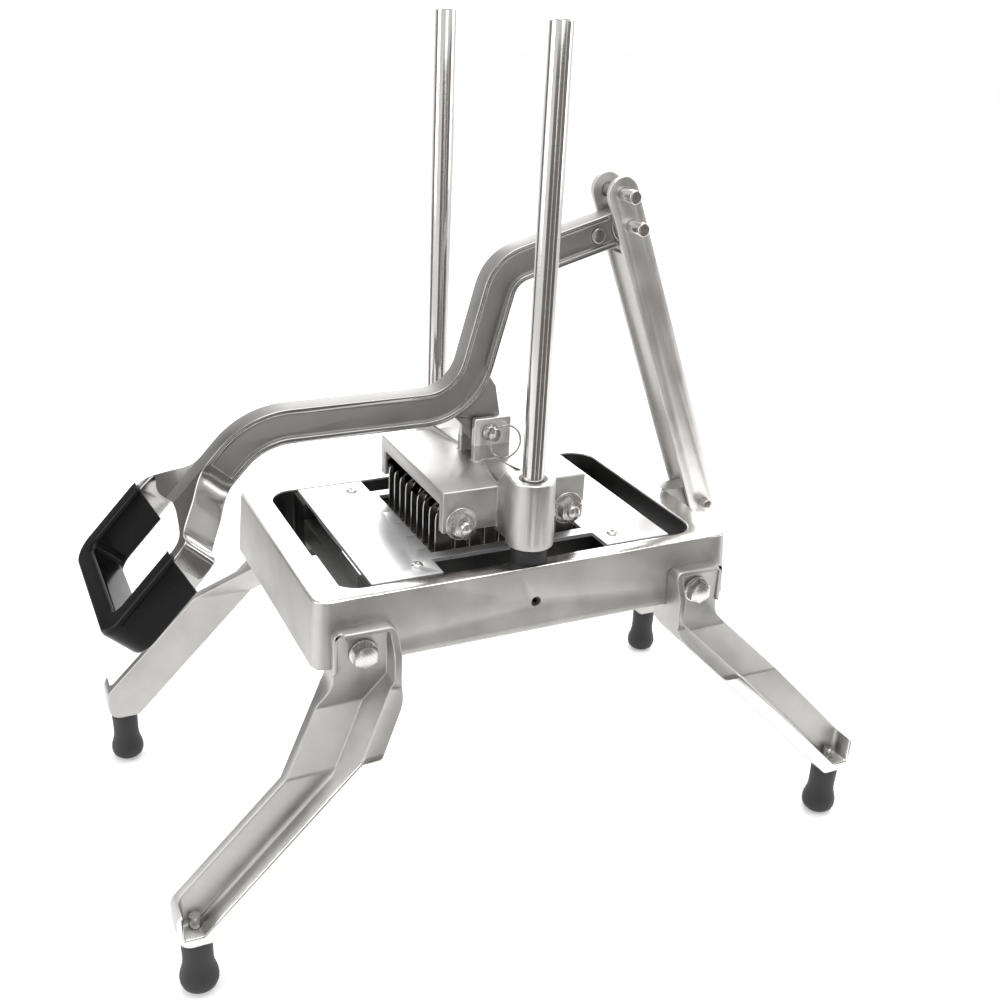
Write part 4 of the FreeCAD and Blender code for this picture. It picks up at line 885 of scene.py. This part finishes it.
class DICER_OT_stage(bpy.types.Operator):
    """Lay the floor, set the lights and place the camera"""
    bl_idname = "dicer.stage"
    bl_label = "Stage"

    def execute(self, context):
        self.floor(context)
        self.world(context)
        self.lights(context)
        self.cards(context)
        self.camera(context)
        context.scene.view_settings.view_transform = "Standard"
        context.scene.view_settings.look = "None"
        context.scene.view_settings.exposure = 0.0
        return {"FINISHED"}

    def floor(self, context):
        finish = Finish("pale_floor", tuple(context.scene.dicer_colours.floor), 0.0, 0.6)
        finish.shader.inputs["Emission Color"].default_value = (1, 1, 1, 1)
        finish.shader.inputs["Emission Strength"].default_value = 0.24
        finish.roughen(finish.spread(finish.noise(8, detail=2), 0.3, 0.7, 0.55, 0.65))
        form = bmesh.new()
        bmesh.ops.create_grid(form, x_segments=2, y_segments=2, size=9.0,
                              matrix=Matrix.Translation((0, 0, CAD_LOW[2] - 0.0001)))
        mesh = bpy.data.meshes.new("floor")
        form.to_mesh(mesh)
        form.free()
        mesh.materials.append(finish.material)
        floor = bpy.data.objects.new("floor", mesh)
        context.scene.collection.objects.link(floor)

    def world(self, context):
        """A white room that is a little darker overhead."""
        world = bpy.data.worlds.new("studio")
        context.scene.world = world
        world.use_nodes = True
        tree = world.node_tree
        place = tree.nodes.new("ShaderNodeTexCoord").outputs["Generated"]
        parts = tree.nodes.new("ShaderNodeSeparateXYZ")
        tree.links.new(place, parts.inputs["Vector"])
        ramp = tree.nodes.new("ShaderNodeValToRGB")
        ramp.color_ramp.elements[0].position = 0.02
        ramp.color_ramp.elements[0].color = (1.0, 1.0, 1.0, 1)
        ramp.color_ramp.elements[1].position = 0.75
        ramp.color_ramp.elements[1].color = (0.66, 0.66, 0.665, 1)
        tree.links.new(parts.outputs["Z"], ramp.inputs["Fac"])
        back = tree.nodes["Background"]
        tree.links.new(ramp.outputs["Color"], back.inputs["Color"])
        back.inputs["Strength"].default_value = 1.12

    def lights(self, context):
        """Large soft boxes: over the dicer, behind it, and one on each side."""
        target = Vector((0, 0, 0.25))
        boxes = (("top_box", (0.1, 0.1, 1.9), 1.6, 18.0), ("back_box", (-1.9, 1.1, 1.2), 1.8, 26.0),
                 ("handle_box", (-0.3, -2.2, 1.1), 1.3, 12.0), ("link_box", (0.9, 2.2, 1.0), 1.0, 8.0),
                 ("front_box", (2.4, -0.4, 1.5), 1.2, 6.0))
        for name, place, size, power in boxes:
            data = bpy.data.lights.new(name, "AREA")
            data.shape = "SQUARE"
            data.size = size
            data.energy = power
            lamp = bpy.data.objects.new(name, data)
            lamp.location = place
            lamp.rotation_euler = (Vector(place) - target).to_track_quat("Z", "Y").to_euler()
            context.scene.collection.objects.link(lamp)

    def cards(self, context):
        """Dark cards that only reflections see, which draw dark bands along the bright metal."""
        finish = Finish("dark_card", (0.15, 0.145, 0.14), 0.0, 0.9)
        finish.tint(finish.noise(5, detail=2), 0.3, 0.7, (0.10, 0.095, 0.09), (0.16, 0.155, 0.15))
        distance = 0.50
        tall = 0.64
        for name, azimuth, width in (("card_near", 62, 0.26), ("card_side", 96, 0.28),
                                     ("card_link_side", 132, 0.28), ("card_handle_side", -42, 0.24)):
            angle = math.radians(azimuth)
            form = bmesh.new()
            spot = Vector((math.sin(angle), -math.cos(angle), 0)) * distance
            spot.z = tall / 2
            turned = Matrix.Translation(spot) @ Matrix.Rotation(angle, 4, "Z")
            turned = turned @ Matrix.Rotation(math.radians(90), 4, "X")
            turned = turned @ Matrix.Diagonal((width, tall, 1, 1))
            bmesh.ops.create_grid(form, x_segments=1, y_segments=1, size=0.5, matrix=turned)
            mesh = bpy.data.meshes.new(name)
            form.to_mesh(mesh)
            form.free()
            mesh.materials.append(finish.material)
            card = bpy.data.objects.new(name, mesh)
            context.scene.collection.objects.link(card)
            card.visible_camera = False
            card.visible_diffuse = False
            card.visible_shadow = False

    def camera(self, context):
        settings = context.scene.dicer_camera
        azimuth = settings.azimuth
        elevation = settings.elevation
        back = Vector((math.sin(azimuth) * math.cos(elevation), -math.cos(azimuth) * math.cos(elevation),
                       math.sin(elevation)))
        right = Vector((math.cos(azimuth), math.sin(azimuth), 0))
        up = back.cross(right)
        rolled_right = right * math.cos(settings.roll) + up * math.sin(settings.roll)
        rolled_up = up * math.cos(settings.roll) - right * math.sin(settings.roll)
        data = bpy.data.cameras.new("camera")
        data.sensor_width = 36.0
        data.lens = settings.lens
        data.shift_x, data.shift_y = settings.shift
        data.clip_start = 0.01
        camera = bpy.data.objects.new("camera", data)
        turned = Matrix((rolled_right, rolled_up, back)).transposed().to_4x4()
        camera.matrix_world = Matrix.Translation(settings.place) @ turned
        context.scene.collection.objects.link(camera)
        context.scene.camera = camera


class DICER_PT_panel(bpy.types.Panel):
    """The dicer's pieces, sizes and colours"""
    bl_idname = "DICER_PT_panel"
    bl_label = "Vegetable dicer"
    bl_space_type = "VIEW_3D"
    bl_region_type = "UI"
    bl_category = "Dicer"

    def draw(self, context):
        for group in (context.scene.dicer_sizes, context.scene.dicer_colours, context.scene.dicer_camera):
            box = self.layout.box()
            for name in group.__annotations__:
                box.prop(group, name)
        for operator in OPERATORS:
            self.layout.operator(operator.bl_idname)


GROUPS = (DicerSizes, DicerColours, DicerCamera)
OPERATORS = (DICER_OT_castings, DICER_OT_feet, DICER_OT_rods, DICER_OT_blades, DICER_OT_pusher,
             DICER_OT_leg_bolts, DICER_OT_pull_pin, DICER_OT_lever, DICER_OT_link, DICER_OT_stage)
POINTERS = {"dicer_sizes": DicerSizes, "dicer_colours": DicerColours, "dicer_camera": DicerCamera}


def register():
    for item in GROUPS + OPERATORS + (DICER_PT_panel,):
        bpy.utils.register_class(item)
    for name, group in POINTERS.items():
        setattr(bpy.types.Scene, name, PointerProperty(type=group))


def unregister():
    for name in POINTERS:
        delattr(bpy.types.Scene, name)
    for item in reversed(GROUPS + OPERATORS + (DICER_PT_panel,)):
        bpy.utils.unregister_class(item)


def main():
    register()
    make_finishes(bpy.context.scene.dicer_sizes, bpy.context.scene.dicer_colours)
    for operator in OPERATORS:
        group, action = operator.bl_idname.split(".")
        getattr(getattr(bpy.ops, group), action)()


if __name__ == "__main__":
    main()
